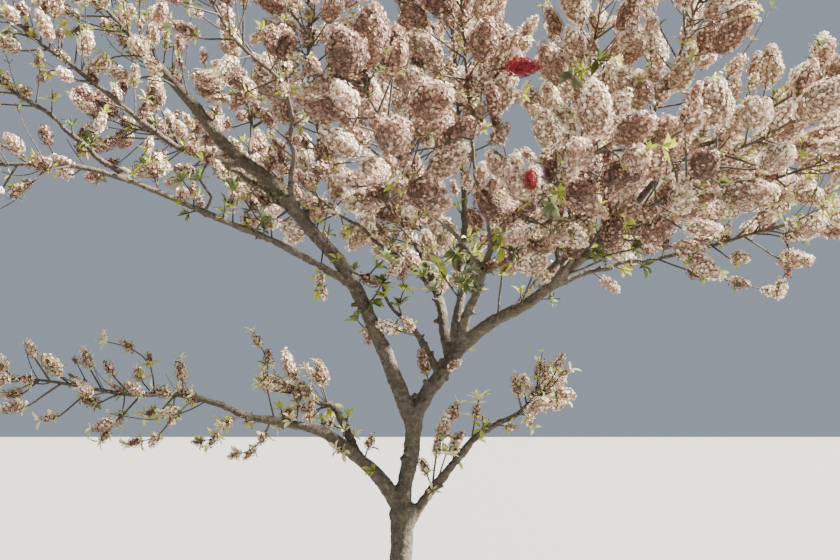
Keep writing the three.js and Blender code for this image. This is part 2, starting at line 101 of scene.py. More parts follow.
# A row: name, the limb it leaves and where on it, its tip, how high its line is bowed and where the
# bow peaks, its radius at foot and tip. Then the mass that it bears: its furthest point, how far it
# spreads round its stem, and the size of its tufts.
BOUGHS = [
    ("low_left_bough", "trunk", 0.9, (-1.12, -0.4, 1.47), (0.2, 0.4), (0.052, 0.02),
     ((-2.6, -0.7, 1.64), 0.31, 0.56)),
    ("low_left_spur", "low_left_bough", 0.27, (-0.42, 0.04, 1.42), (0.02, 0.5), (0.035, 0.022),
     ((-0.82, 0.09, 1.62), 0.28, 0.5)),
    ("low_right_bough", "trunk", 0.67, (0.74, 0.09, 1.38), (0.15, 0.5), (0.038, 0.019),
     ((1.1, 0.22, 1.65), 0.29, 0.55)),
    ("centre_stem", "trunk", 0.86, (0.1, 0, 1.45), (0, 0.5), (0.056, 0.052),
     None),
    ("left_main_bough", "centre_stem", 0.82, (-1.32, -0.4, 3.38), (0.31, 0.4), (0.05, 0.04),
     ((-2.13, -0.52, 4.24), 0.4, 0.72)),
    ("right_main_bough", "centre_stem", 0.95, (0.4, 0, 1.86), (-0.01, 0.5), (0.052, 0.048),
     None),
    ("left_long_bough", "left_main_bough", 0.3, (-1.8, -0.85, 2.87), (0.055, 0.5), (0.026, 0.017),
     ((-2.92, -1.15, 2.88), 0.33, 0.6)),
    ("left_middle_bough", "left_main_bough", 0.76, (-1.78, -0.69, 3.37), (-0.09, 0.5), (0.025, 0.017),
     ((-2.6, -0.85, 4), 0.35, 0.64)),
    ("left_back_bough", "left_main_bough", 0.5, (-1.25, 0.45, 3.15), (0.04, 0.5), (0.028, 0.016),
     ((-2.5, 1.25, 3.8), 0.48, 0.88)),
    ("left_far_bough", "left_long_bough", 0.88, (-2.22, -0.8, 3.29), (0, 0.5), (0.019, 0.015),
     ((-2.96, -0.65, 3.79), 0.32, 0.6)),
    ("left_back_riser", "left_back_bough", 0.7, (-1.12, 0.72, 3.45), (-0.03, 0.5), (0.018, 0.013),
     ((-1.4, 1.35, 4.42), 0.45, 1)),
    ("left_riser", "left_main_bough", 0.5, (-0.56, -0.06, 3), (-0.02, 0.5), (0.024, 0.015),
     ((-0.68, 0.08, 4.72), 0.46, 0.88)),
    ("left_front_bough", "left_main_bough", 0.55, (-0.66, -0.76, 3.25), (0.04, 0.5), (0.022, 0.014),
     ((-1.35, -1.95, 4.15), 0.4, 0.74)),
    ("rear_bough", "right_main_bough", 0.8, (0.12, 0.8, 2.6), (0.09, 0.5), (0.042, 0.02),
     ((-0.25, 2.45, 3.45), 0.5, 1)),
    ("rear_left_bough", "rear_bough", 0.5, (-0.4, 1, 2.85), (0.03, 0.5), (0.02, 0.013),
     ((-1.5, 2.25, 3.6), 0.48, 1)),
    ("rear_right_bough", "rear_bough", 0.45, (0.62, 1, 2.65), (0.04, 0.5), (0.022, 0.014),
     ((1.25, 2.5, 3.25), 0.5, 1)),
    ("rear_riser", "rear_bough", 0.7, (0.1, 0.85, 3.05), (-0.02, 0.5), (0.02, 0.013),
     ((0.05, 1.2, 4.55), 0.47, 1)),
    ("front_bough", "right_main_bough", 0.95, (0.69, -0.5, 2.6), (0.11, 0.5), (0.036, 0.018),
     ((1.25, -2.05, 2.9), 0.48, 1)),
    ("front_left_bough", "front_bough", 0.5, (0.17, -0.7, 2.65), (0.04, 0.5), (0.018, 0.013),
     ((-0.25, -2.45, 3.2), 0.48, 1)),
    ("front_riser", "front_bough", 0.75, (0.46, -0.65, 3), (-0.02, 0.5), (0.018, 0.013),
     ((0.35, -1.4, 4.25), 0.45, 1)),
    ("right_long_bough", "right_main_bough", 0.97, (1.65, -0.48, 2.92), (-0.08, 0.5), (0.046, 0.02),
     ((2.68, -1.02, 3.5), 0.4, 0.8)),
    ("right_middle_bough", "right_long_bough", 0.66, (1.95, -0.4, 2.76), (0.02, 0.5), (0.022, 0.014),
     ((3.06, -0.7, 3.13), 0.35, 0.72)),
    ("right_low_bough", "right_long_bough", 0.43, (1.75, -0.26, 2.43), (0.03, 0.5), (0.022, 0.014),
     ((2.8, -0.56, 2.68), 0.38, 0.74)),
    ("right_front_bough", "right_long_bough", 0.48, (1.38, -0.78, 2.6), (0.04, 0.5), (0.02, 0.013),
     ((2.25, -2.05, 3.05), 0.46, 1)),
    ("right_front_riser", "right_long_bough", 0.8, (1.54, -0.72, 3.15), (-0.01, 0.5), (0.017, 0.012),
     ((1.85, -1.45, 4.1), 0.42, 1)),
    ("right_riser", "right_long_bough", 0.52, (1.15, -0.11, 2.9), (-0.05, 0.5), (0.025, 0.015),
     ((1.42, -0.1, 4.45), 0.47, 1)),
    ("right_back_bough", "right_long_bough", 0.28, (1.35, 0.52, 2.65), (0.05, 0.5), (0.028, 0.016),
     ((2.3, 1.65, 3.25), 0.49, 1)),
    ("right_far_bough", "right_back_bough", 0.66, (1.85, 0.32, 2.85), (0.02, 0.5), (0.016, 0.012),
     ((3, 0.33, 3.3), 0.43, 1)),
    ("right_back_riser", "right_back_bough", 0.55, (1.13, 0.72, 3.15), (-0.03, 0.5), (0.018, 0.013),
     ((1.4, 1.2, 4.3), 0.45, 1)),
    ("centre_riser", "right_main_bough", 0.9, (0.43, 0.06, 2.95), (0, 0.5), (0.037, 0.02),
     ((0.23, 0.12, 4.95), 0.48, 1)),
    ("fork_spur", "right_main_bough", 0.6, (0, -0.03, 2.06), (0.02, 0.5), (0.03, 0.017),
     None),
]
print(len(BOUGHS), "boughs, of which", sum(bool(row[-1]) for row in BOUGHS), "bear blossom")

# %% Random stream and vector helpers
WORD = 0xFFFFFFFF
STREAM_STEP = 0x6D2B79F5
FULL_TURN = 2 * math.pi
NEARLY_UPRIGHT = 0.9
PAST_LAST_STEP = 1.000001
UP = np.array([0.0, 0.0, 1.0])
ACROSS = np.array([1.0, 0.0, 0.0])
# Each step draws from streams of its own, so a change in one leaves the others as they are.
SEEDS = {"wreaths": 5000, "stem_shoots": 6000, "bough_shoots": 6500, "top_shoots": 6800,
         "bare_shoots": 6900, "spurs": 7000, "stubs": 41, "builds": 50, "flowers": 100, "leaves": 9000,
         "spur_leaves": 20000, "twig_leaves": 30000}


def random_stream(seed):
    """Even random numbers from 0 to 1 that are the same for the same seed."""
    state = seed & WORD

    def draw():
        nonlocal state
        state = (state + STREAM_STEP) & WORD
        mixed = ((state ^ (state >> 15)) * (state | 1)) & WORD
        mixed ^= (mixed + (mixed ^ (mixed >> 7)) * (mixed | 61)) & WORD
        return (mixed ^ (mixed >> 14)) / (WORD + 1)

    return draw


def three(random):
    return np.array([random(), random(), random()])


def unit(vector):
    return vector / np.linalg.norm(vector)


def span(line):
    """How far apart the two ends of a line are."""
    return np.linalg.norm(line[-1] - line[0])


def sideways(direction):
    return unit(np.cross(direction, UP if abs(direction[2]) < NEARLY_UPRIGHT else ACROSS))


def turned(vector, axis, angle):
    """A vector turned about an axis of length 1, by the right-hand rule."""
    along = axis * (axis @ vector) * (1 - math.cos(angle))
    return vector * math.cos(angle) + np.cross(axis, vector) * math.sin(angle) + along


def point_along(line, share):
    place = min(share * (len(line) - 1), len(line) - PAST_LAST_STEP)
    step = int(place)
    return line[step] + (line[step + 1] - line[step]) * (place - step)


def direction_along(line, share):
    step = min(int(share * (len(line) - 1)), len(line) - 2)
    return unit(line[step + 1] - line[step])


def side_of(line, share, turn):
    """At a share of a line: its direction there, and the way out to the side at a turn round it."""
    along = direction_along(line, share)
    return along, turned(sideways(along), along, turn)


print("first draws", [round(random_stream(seed)(), 4) for seed in (1, 2)])

# %% Lines of the limbs and stems


def trunk_middle(height):
    return np.array([TRUNK_LEAN * (height / TRUNK_HEIGHT) ** 2, 0, height])


def trunk_radius(height):
    levels, radii = zip(*TRUNK_WIDTHS)
    return float(np.interp(height, levels, radii))


def bow_at(share, peak):
    """How much of its lift a bow has at a share of its length: all of it at its peak."""
    fall = (1 - peak) / peak
    return share * (1 - share) ** fall / (peak * (1 - peak) ** fall)


def limb_line(start, tip, bow, crook, steps, random):
    """The points of a limb's middle line, bowed upwards and crooked by seeded steps aside."""
    lift, peak = bow
    length = np.linalg.norm(tip - start)
    points = []
    for step in range(steps + 1):
        share = step / steps
        point = start + (tip - start) * share + UP * lift * bow_at(share, peak)
        inside = crook * length if 0 < step < steps else 0
        points.append(point + (three(random) - 0.5) * 2 * inside)
    return np.array(points)


heights = (TRUNK_HEIGHT * step / TRUNK_STEPS for step in range(TRUNK_STEPS + 1))
lines = {"trunk": np.array([trunk_middle(height) for height in heights])}
limbs = []
masses = []
for seed, (name, parent, at, tip, bow, (foot, end), bears) in enumerate(BOUGHS, 1):
    random = random_stream(seed)
    line = limb_line(point_along(lines[parent], at), np.array(tip), bow, BOUGH_CROOK, BOUGH_STEPS, random)
    lines[name] = line
    limbs.append({"name": name, "line": line, "radii": np.linspace(foot, end, BOUGH_STEPS + 1)})
    if not bears:
        continue
    reach, spread, bloom = bears
    ahead = direction_along(line, 1)
    root = line[-1] + ahead * STEM_GAP
    way = np.array(reach) - root
    stem_end = root + way * (1 - END_TUFT_ROOM * bloom / np.linalg.norm(way))
    stem = limb_line(root, stem_end, (0, 0.5), STEM_CROOK, STEM_STEPS, random)
    straight = root + ahead * np.linalg.norm(stem[1] - root)
    stem[1] = (stem[1] + straight) / 2
    name = name.removesuffix("_bough") + "_mass"
    lines[name] = stem
    masses.append({"name": name, "seed": seed, "line": stem, "foot": end, "spread": spread,
                   "bloom": bloom})
print("limbs", len(limbs), "stems", len(masses))

# %% [markdown]
# ## Room for every twig
#
# Twigs and tufts may not run through each other or through a limb. Each thing that has grown is
# kept as a round-ended bar, and a new one is tested against them all at once with arrays. Each mass
# also keeps to an egg-shaped space of its own, up to where a neighbour's egg is nearer.

# %% Bars that have grown, and the space of a mass
APART = 0.002
SPACE_MARGIN = 0.26
SPACE_SHIFT = 0.11
TRUNK_BAR = 0.05
PARALLEL = 1e-15
NO_LENGTH = 1e-12
MOST_BARS = 16000
grown = {"owner": np.zeros(MOST_BARS, int), "tuft": np.zeros(MOST_BARS, bool), "radius": np.zeros(MOST_BARS),
         "a": np.zeros((MOST_BARS, 3)), "b": np.zeros((MOST_BARS, 3)), "count": 0}
owner_numbers = {}


def keep(owner, a, b, radius, tuft=False):
    """Keeps a bar that has grown, so that later ones leave it room."""
    place = grown["count"]
    number = owner_numbers.setdefault(owner, len(owner_numbers))
    for key, value in (("owner", number), ("tuft", tuft), ("radius", radius), ("a", a), ("b", b)):
        grown[key][place] = value
    grown["count"] += 1


def kept(key):
    return grown[key][:grown["count"]]


def gaps_between(a, b, starts, ends):
    """The shortest way from the stretch a to b to each of many stretches."""
    along, other, apart = b - a, ends - starts, a - starts
    aa, ee = along @ along, (other * other).sum(1)
    f, c, ab = (other * apart).sum(1), apart @ along, other @ along
    flat = aa * ee - ab * ab
    s = np.where(flat > PARALLEL, np.clip((ab * f - c * ee) / np.maximum(flat, PARALLEL), 0, 1), 0)
    t = (ab * s + f) / np.maximum(ee, NO_LENGTH)
    held = np.clip(t, 0, 1)
    s = np.where(held == t, s, np.clip((ab * held - c) / max(aa, NO_LENGTH), 0, 1))
    return np.linalg.norm(apart + s[:, None] * along - held[:, None] * other, axis=1)


def spare_room(a, b, radius, chosen):
    """The gap from a bar to the nearest of the chosen ones, below zero where they overlap."""
    if not chosen.any():
        return math.inf
    starts, ends, radii = (kept(key)[chosen] for key in ("a", "b", "radius"))
    return float((gaps_between(a, b, starts, ends) - radii).min() - radius)


def bars_of(owner):
    return kept("owner") == owner_numbers.get(owner, -1)


for mass in masses:
    ends = mass["line"][[0, -1]]
    mass["axis"] = unit(ends[1] - ends[0])
    mass["reach"] = span(ends) / 2 + SPACE_MARGIN
    mass["middle"] = ends.mean(0) + mass["axis"] * SPACE_SHIFT


def depth_in(mass, point, radius):
    """How far out a point lies in a mass's egg: 0 in its middle, 1 at its skin."""
    away = point - mass["middle"]
    along = away @ mass["axis"]
    aside = math.sqrt(max(away @ away - along * along, 0))
    return math.hypot(along / (mass["reach"] - radius), aside / (mass["spread"] - radius))


def is_own(mass, tuft):
    """Whether both ends of a tuft lie in a mass's egg, and are nearer to it than to any other."""
    for point in (tuft["a"], tuft["b"]):
        own = depth_in(mass, point, 0)
        if depth_in(mass, point, tuft["radius"]) > 1 or any(
                depth_in(other, point, 0) <= own for other in masses if other is not mass):
            return False
    return True


for step in range(round(TRUNK_HEIGHT / TRUNK_BAR)):
    low, high = TRUNK_BAR * step, TRUNK_BAR * (step + 1)
    keep("trunk", trunk_middle(low), trunk_middle(high), trunk_radius((low + high) / 2))
for limb in limbs:
    for step in range(BOUGH_STEPS):
        keep(limb["name"], limb["line"][step], limb["line"][step + 1], limb["radii"][step])
for mass in masses:
    mass["radii"] = np.linspace(mass["foot"], STEM_TIP_RADIUS, STEM_STEPS + 1)
    for step in range(STEM_STEPS):
        keep(mass["name"], mass["line"][step], mass["line"][step + 1], mass["radii"][step])
print(grown["count"], "bars of trunk, boughs and stems")

# %% [markdown]
# ## Twigs and tufts
#
# Side twigs leave a stem round the golden-angle spiral, as buds do, so no two stand over each other.
# Each turns up at its neck and swells into an oval tuft. The solids have every second twig of the
# spiral. Here those grow first, then the others between them wherever there is room. On the left the
# crown is open: there the tufts are smaller and fewer, so that sky and bare wood show between them.

# %% Rules of a twig and its tuft
TWIGS_PER_METRE = 15
FEWEST_TWIGS = 12
FIRST_TWIG = 0.06
SEEDS_FOR_TWIGS = 1000
GOLDEN_ANGLE = math.pi * (3 - math.sqrt(5))
TURN_SPREAD = 0.6
TILT_AT_FOOT = 1.15
TILT_AT_TIP = 0.6
TILT_SPREAD = 0.3
FULLEST_AT = 0.45
SWELL_REACH = 0.8
SWELL_LEAST = 0.1
TWIG_SHORTEST = 0.45
TWIG_MORE = 0.4
TWIG_BEND = 0.55
TWIG_RADIUS = 0.007
TWIG_RISE = 0.5
DROOP_SHARE = 0.16
TUFT_HALF_LENGTH = 0.175
TUFT_RADIUS = 0.115
TUFT_LEAST = 0.76
tufts = []
twigs = []


def twig_of(mass, number, count):
    """Where a side twig leaves its stem, how it runs, and how large its tuft is."""
    random = random_stream(mass["seed"] * SEEDS_FOR_TWIGS + number)
    share = FIRST_TWIG + (1 - FIRST_TWIG) * ((number % count + 0.5) / count)
    turn = number * GOLDEN_ANGLE + TURN_SPREAD * (random() - 0.5)
    tilt = TILT_AT_FOOT + (TILT_AT_TIP - TILT_AT_FOOT) * share + TILT_SPREAD * (random() - 0.5)
    along, out = side_of(mass["line"], share, turn)
    heading = along * math.cos(tilt) + out * math.sin(tilt)
    swell = math.sqrt(max(1 - ((share - FULLEST_AT) / SWELL_REACH) ** 2, SWELL_LEAST))
    length = mass["spread"] * swell * (TWIG_SHORTEST + TWIG_MORE * random())
    rise = -TWIG_RISE if random() < DROOP_SHARE else TWIG_RISE
    size = mass["bloom"] * (TUFT_LEAST + (1 - TUFT_LEAST) * random())
    return {"foot": point_along(mass["line"], share), "heading": heading, "length": length,
            "axis": unit(heading + UP * rise), "size": size}


def tuft_at(neck, axis, size, slim=1.0):
    """The bar of a tuft that stands with its neck at a point."""
    radius, length = TUFT_RADIUS * size * slim, 2 * TUFT_HALF_LENGTH * size
    return {"a": neck + axis * radius, "b": neck + axis * (length - radius), "axis": axis, "radius": radius,
            "half": length / 2, "middle": neck + axis * length / 2}


def has_room(owner, tuft, overlap, sunk):
    """Whether a tuft overlaps its own neighbours, and sinks into others' bars, by no more than it may."""
    own = bars_of(owner)
    ends = tuft["a"], tuft["b"], tuft["radius"]
    if spare_room(*ends, ~own) <= APART - sunk:
        return False
    return spare_room(*ends, own & kept("tuft")) > -overlap


def add_tuft(owner, tuft):
    keep(owner, tuft["a"], tuft["b"], tuft["radius"], tuft=True)
    tufts.append({**tuft, "owner": owner})


def add_twig(line, radius):
    twigs.append({"line": np.array(line), "radius": radius})


def grow_twigs(mass, numbers, overlap, sunk, shrink):
    """Side twigs of a stem, each with the longest reach at which its tuft has room."""
    owner = mass["name"]
    for number in numbers:
        twig = twig_of(mass, number, mass["count"])
        for share in (1, 0.8, 0.6, 0.4):
            neck = twig["foot"] + twig["heading"] * twig["length"] * share
            tuft = tuft_at(neck, twig["axis"], twig["size"] * shrink)
            if not is_own(mass, tuft):
                continue
            free = spare_room(twig["foot"], neck, TWIG_RADIUS, ~bars_of(owner)) > APART - sunk
            if free and has_room(owner, tuft, overlap, sunk):
                keep(owner, twig["foot"], neck, TWIG_RADIUS)
                add_tuft(owner, tuft)
                bend = twig["foot"] + twig["heading"] * TWIG_BEND * twig["length"] * share
                add_twig([twig["foot"], bend, neck, tuft["middle"]], TWIG_RADIUS)
                break


print("the golden angle is", round(math.degrees(GOLDEN_ANGLE), 1), "degrees")

# %% Grow what the solids have
TUFT_OVERLAP = 0.015
END_TUFT_GRIP = 0.04
FULL_BLOOM = 0.76

for mass in masses:
    owner = mass["name"]
    mass["count"] = max(FEWEST_TWIGS, math.floor(TWIGS_PER_METRE * span(mass["line"]) + 0.5))
    axis = direction_along(mass["line"], 1)
    neck = point_along(mass["line"], 1) - axis * END_TUFT_GRIP
    for size in (1, 0.85, 0.7, 0.55):
        tuft = tuft_at(neck, axis, mass["bloom"] * size)
        if is_own(mass, tuft) and has_room(owner, tuft, TUFT_OVERLAP, 0):
            add_tuft(owner, tuft)
            break
    grow_twigs(mass, range(0, mass["count"], 2), TUFT_OVERLAP, sunk=0, shrink=1)
print("tufts as in the solids", len(tufts))

# %% Grow the finer twigs between them
EXTRA_TWIGS = 1.4

for mass in masses:
    count = mass["count"]
    mass["open"] = mass["bloom"] < FULL_BLOOM
    if mass["open"]:
        grow_twigs(mass, range(1, count, 2), overlap=0.01, sunk=0, shrink=0.8)
    else:
        grow_twigs(mass, range(1, count, 2), overlap=0.04, sunk=0.02, shrink=0.8)
        grow_twigs(mass, range(count, round(EXTRA_TWIGS * count)), overlap=0.03, sunk=0.02, shrink=0.58)
print("with those between", len(tufts))

# %% [markdown]
# ## Blossom along the stems, and long shoots
#
# Flowering wood of the year before is wreathed in blossom, so a row of slim tufts wraps every stem.
# Long whippy shoots fill the room between the masses and break up their outline. A shoot starts on
# a stem or on the outer part of a bough, turns up towards the light and carries small tufts. More of
# them grow high up, where the photo shows hardly a gap. On the open side there are also bare shoots
# of last summer, with no more than a few small leaves.

# %% Wreathe the stems
WREATH_EVERY = 0.24
WREATH_SIZE = 0.54
WREATH_SIZE_OPEN = 0.72 * WREATH_SIZE
WREATH_SLIM = 0.95
WREATH_LEAN = 0.7

for mass in masses:
    random = random_stream(SEEDS["wreaths"] + mass["seed"])
    line, length = mass["line"], span(mass["line"])
    wreath = WREATH_SIZE_OPEN if mass["open"] else WREATH_SIZE
    for number in range(int(length / WREATH_EVERY)):
        share = (number + 0.2 + 0.6 * random()) * WREATH_EVERY / length
        lean = three(random) + (0, 0, 0.3) - 0.5
        axis = unit(direction_along(line, share) + WREATH_LEAN * lean)
        tuft = tuft_at(point_along(line, share), axis, wreath * (0.8 + 0.4 * random()), WREATH_SLIM)
        if has_room(mass["name"], tuft, overlap=0.06, sunk=0.03):
            add_tuft(mass["name"], tuft)
print("tufts with wreaths", len(tufts))

# %% Grow the shoots
# Shoots for each metre of their line, from where on it, over how much of it, how far they head
# forward and up, how long the shortest is, and how much longer others get.
STEM_SHOOTS = (5, 0.02, 0.93, 0.5, 0.35, 0.9, 0.8)
BOUGH_SHOOTS = (3.5, 0.4, 0.6, 0.4, 0.5, 0.3, 0.35)
SHOOT_RADIUS = 0.0055
SHOOT_STEP = 0.11
SHOOT_RISE = 0.75
SHOOT_WANDER = 0.25
SHOOT_TUFT = 0.5
SHOOT_TUFT_LEAN = 0.6
SHOOT_TUFT_SLIM = 0.92
SHOOT_END = 0.04
SHOOT_SINK = 0.03
CROWN_SKIN = 1.04


def in_crown(point, radius):
    """Whether a ball lies in the egg of some mass, so that nothing grows past the solids' reach."""
    return any(depth_in(mass, point, radius) < CROWN_SKIN for mass in masses)


def shoot_starts(line, seed, kind, scale=1.0):
    """Where shoots of a kind start on a line: foot, heading, length and the stream that drew them."""
    per_metre, first, over, forward, rise, shortest, more = kind
    random = random_stream(seed)
    for _ in range(round(per_metre * span(line))):
        share = first + over * random()
        along, out = side_of(line, share, random() * FULL_TURN)
        heading = unit(along * forward + out + UP * rise)
        yield point_along(line, share), heading, scale * (shortest + more * random()), random


def grow_shoot(owner, foot, heading, length, random, small=1.0):
    """A thin shoot that curves upwards with small tufts in a row. It ends at its last tuft."""
    line = [foot]
    way = heading
    carried = 0
    steps = max(3, round(length / SHOOT_STEP))
    for step in range(steps):
        way = unit(way + UP * SHOOT_RISE / steps + SHOOT_WANDER * (three(random) - 0.5))
        point = line[-1] + way * length / steps
        if spare_room(line[-1], point, SHOOT_RADIUS, ~bars_of(owner)) < -SHOOT_SINK:
            break
        line.append(point)
        lean = unit(way + SHOOT_TUFT_LEAN * (three(random) - 0.5))
        tuft = tuft_at(point, lean, SHOOT_TUFT * small * (0.75 + 0.45 * random()), SHOOT_TUFT_SLIM)
        if not (in_crown(tuft["a"], tuft["radius"]) and in_crown(tuft["b"], tuft["radius"])):
            break
        if step and has_room(owner, tuft, overlap=0.035, sunk=0.02):
            add_tuft(owner, tuft)
            carried = len(line)
    if carried:
        line = line[:carried]
        end = line[-1] + unit(line[-1] - line[-2]) * SHOOT_END
        keep(owner, foot, line[-1], SHOOT_RADIUS)
        add_twig([*line, end], SHOOT_RADIUS)


for mass in masses:
    seed = SEEDS["stem_shoots"] + mass["seed"]
    for start in shoot_starts(mass["line"], seed, STEM_SHOOTS, mass["spread"]):
        grow_shoot(mass["name"], *start, small=0.6 if mass["open"] else 1)
for number, limb in enumerate(limbs):
    if not limb["name"].startswith(("low", "centre_stem", "right_main")):
        for start in shoot_starts(limb["line"], SEEDS["bough_shoots"] + number, BOUGH_SHOOTS):
            grow_shoot(limb["name"], *start, small=0.8)
print("tufts with shoots", len(tufts), "twigs", len(twigs))

# %% Fill the top of the crown
TOP_HEIGHT = 3.6
TOP_SHOOTS = (12, 0.3, 0.65, 0.3, 0.2, 0.8, 0.7)

for mass in masses:
    seed = SEEDS["top_shoots"] + mass["seed"]
    for start in shoot_starts(mass["line"], seed, TOP_SHOOTS, mass["spread"]):
        if start[0][2] > TOP_HEIGHT:
            grow_shoot(mass["name"], *start, small=1.15)
print("tufts with the top filled", len(tufts))

# %% Grow bare shoots where the crown is open
BARE_SHOOTS = (7, 0.05, 0.9, 0.7, 0.3, 0.35, 0.35)
BARE_RADIUS = 0.0042
BARE_STEPS = 5
BARE_RISE = 0.16
BARE_WANDER = 0.3
BARE_SINK = 0.02
BARE_LEAFY = 0.6
leaf_spurs = []


def grow_bare_shoot(owner, foot, heading, length, random):
    """A thin shoot of last summer, without blossom, with a few small leaves where its buds open."""
    line = [foot]
    way = heading
    for step in range(BARE_STEPS):
        way = unit(way + UP * BARE_RISE + BARE_WANDER * (three(random) - 0.5))
        point = line[-1] + way * length / BARE_STEPS
        gap = spare_room(line[-1], point, BARE_RADIUS, ~bars_of(owner))
        if not in_crown(point, BARE_SINK) or gap < -BARE_SINK:
            break
        line.append(point)
        if step > 1 and random() < BARE_LEAFY:
            leaf_spurs.append({"spot": point, "axis": way, "owner": owner, "small": True})
    if len(line) > 2:
        add_twig(line, BARE_RADIUS)


for mass in masses:
    if mass["open"]:
        for start in shoot_starts(mass["line"], SEEDS["bare_shoots"] + mass["seed"], BARE_SHOOTS):
            grow_bare_shoot(mass["name"], *start)
print("bare shoots too: twigs", len(twigs), "leafy buds", len(leaf_spurs))

# %% [markdown]
# ## Spurs on the bare boughs
#
# Old apple boughs carry spurs: stubby shoots a few centimetres long, each with one bunch of flowers
# or a rosette of leaves. They sit on the thinner part of a bough, on top and at the sides. The low
# boughs in the shade have the most, and half of theirs bear leaves.

# %% Grow the spurs
SPUR_EVERY = 0.1
SPUR_LENGTH = 0.05
SPUR_RADIUS = 0.006
LAST_SPUR = 0.98
# From where on a bough the spurs grow, the size of their tufts, and the share that have leaves instead.
LOW_SPURS = (0.12, 0.3, 0.5)
HIGH_SPURS = (0.3, 0.4, 0.3)


def skin_at(limb, share):
    return np.interp(share, [0, 1], limb["radii"][[0, -1]])


for number, limb in enumerate(limbs):
    random = random_stream(SEEDS["spurs"] + number)
    line, length = limb["line"], span(limb["line"])
    first, tuft_size, leafy = LOW_SPURS if limb["name"].startswith("low") else HIGH_SPURS
    for count in range(int(length / SPUR_EVERY)):
        share = (count + random()) * SPUR_EVERY / length
        turn, size, kind = three(random)
        if not first <= share <= LAST_SPUR or limb["name"] == "centre_stem":
            continue
        along, out = side_of(line, share, turn * FULL_TURN)
        foot = point_along(line, share)
        heading = unit(out + UP * 0.6 + along * 0.3)
        neck = foot + heading * (skin_at(limb, share) + SPUR_LENGTH * (0.5 + size))
        tuft = tuft_at(neck, heading, tuft_size * (0.75 + 0.5 * size))
        if not has_room(limb["name"], tuft, overlap=0.02, sunk=0.01):
            continue
        keep(limb["name"], tuft["a"], tuft["b"], tuft["radius"], tuft=True)
        add_twig([foot, neck, tuft["middle"]], SPUR_RADIUS)
        if kind < leafy:
            leaf_spurs.append({"spot": neck, "axis": heading, "owner": limb["name"]})
        else:
            tufts.append({**tuft, "owner": limb["name"]})
print("tufts with spurs", len(tufts), "twigs", len(twigs), "leaf spurs", len(leaf_spurs))

# %% [markdown]
# ## Twigs that have a place of their own
#
# A few twigs are seen one by one in the open below the crown: some hang from the low bough, one
# droops at the right, some leafy ones fill the fork. In the crown, others bring leaves to where they
# show between the tufts, and two bear the crimson tufts. Each is a short list of points. A number
# for each point gives the size of its tuft. Where it is 0 the point has a rosette of leaves instead,
# and where it is None the twig only bends.

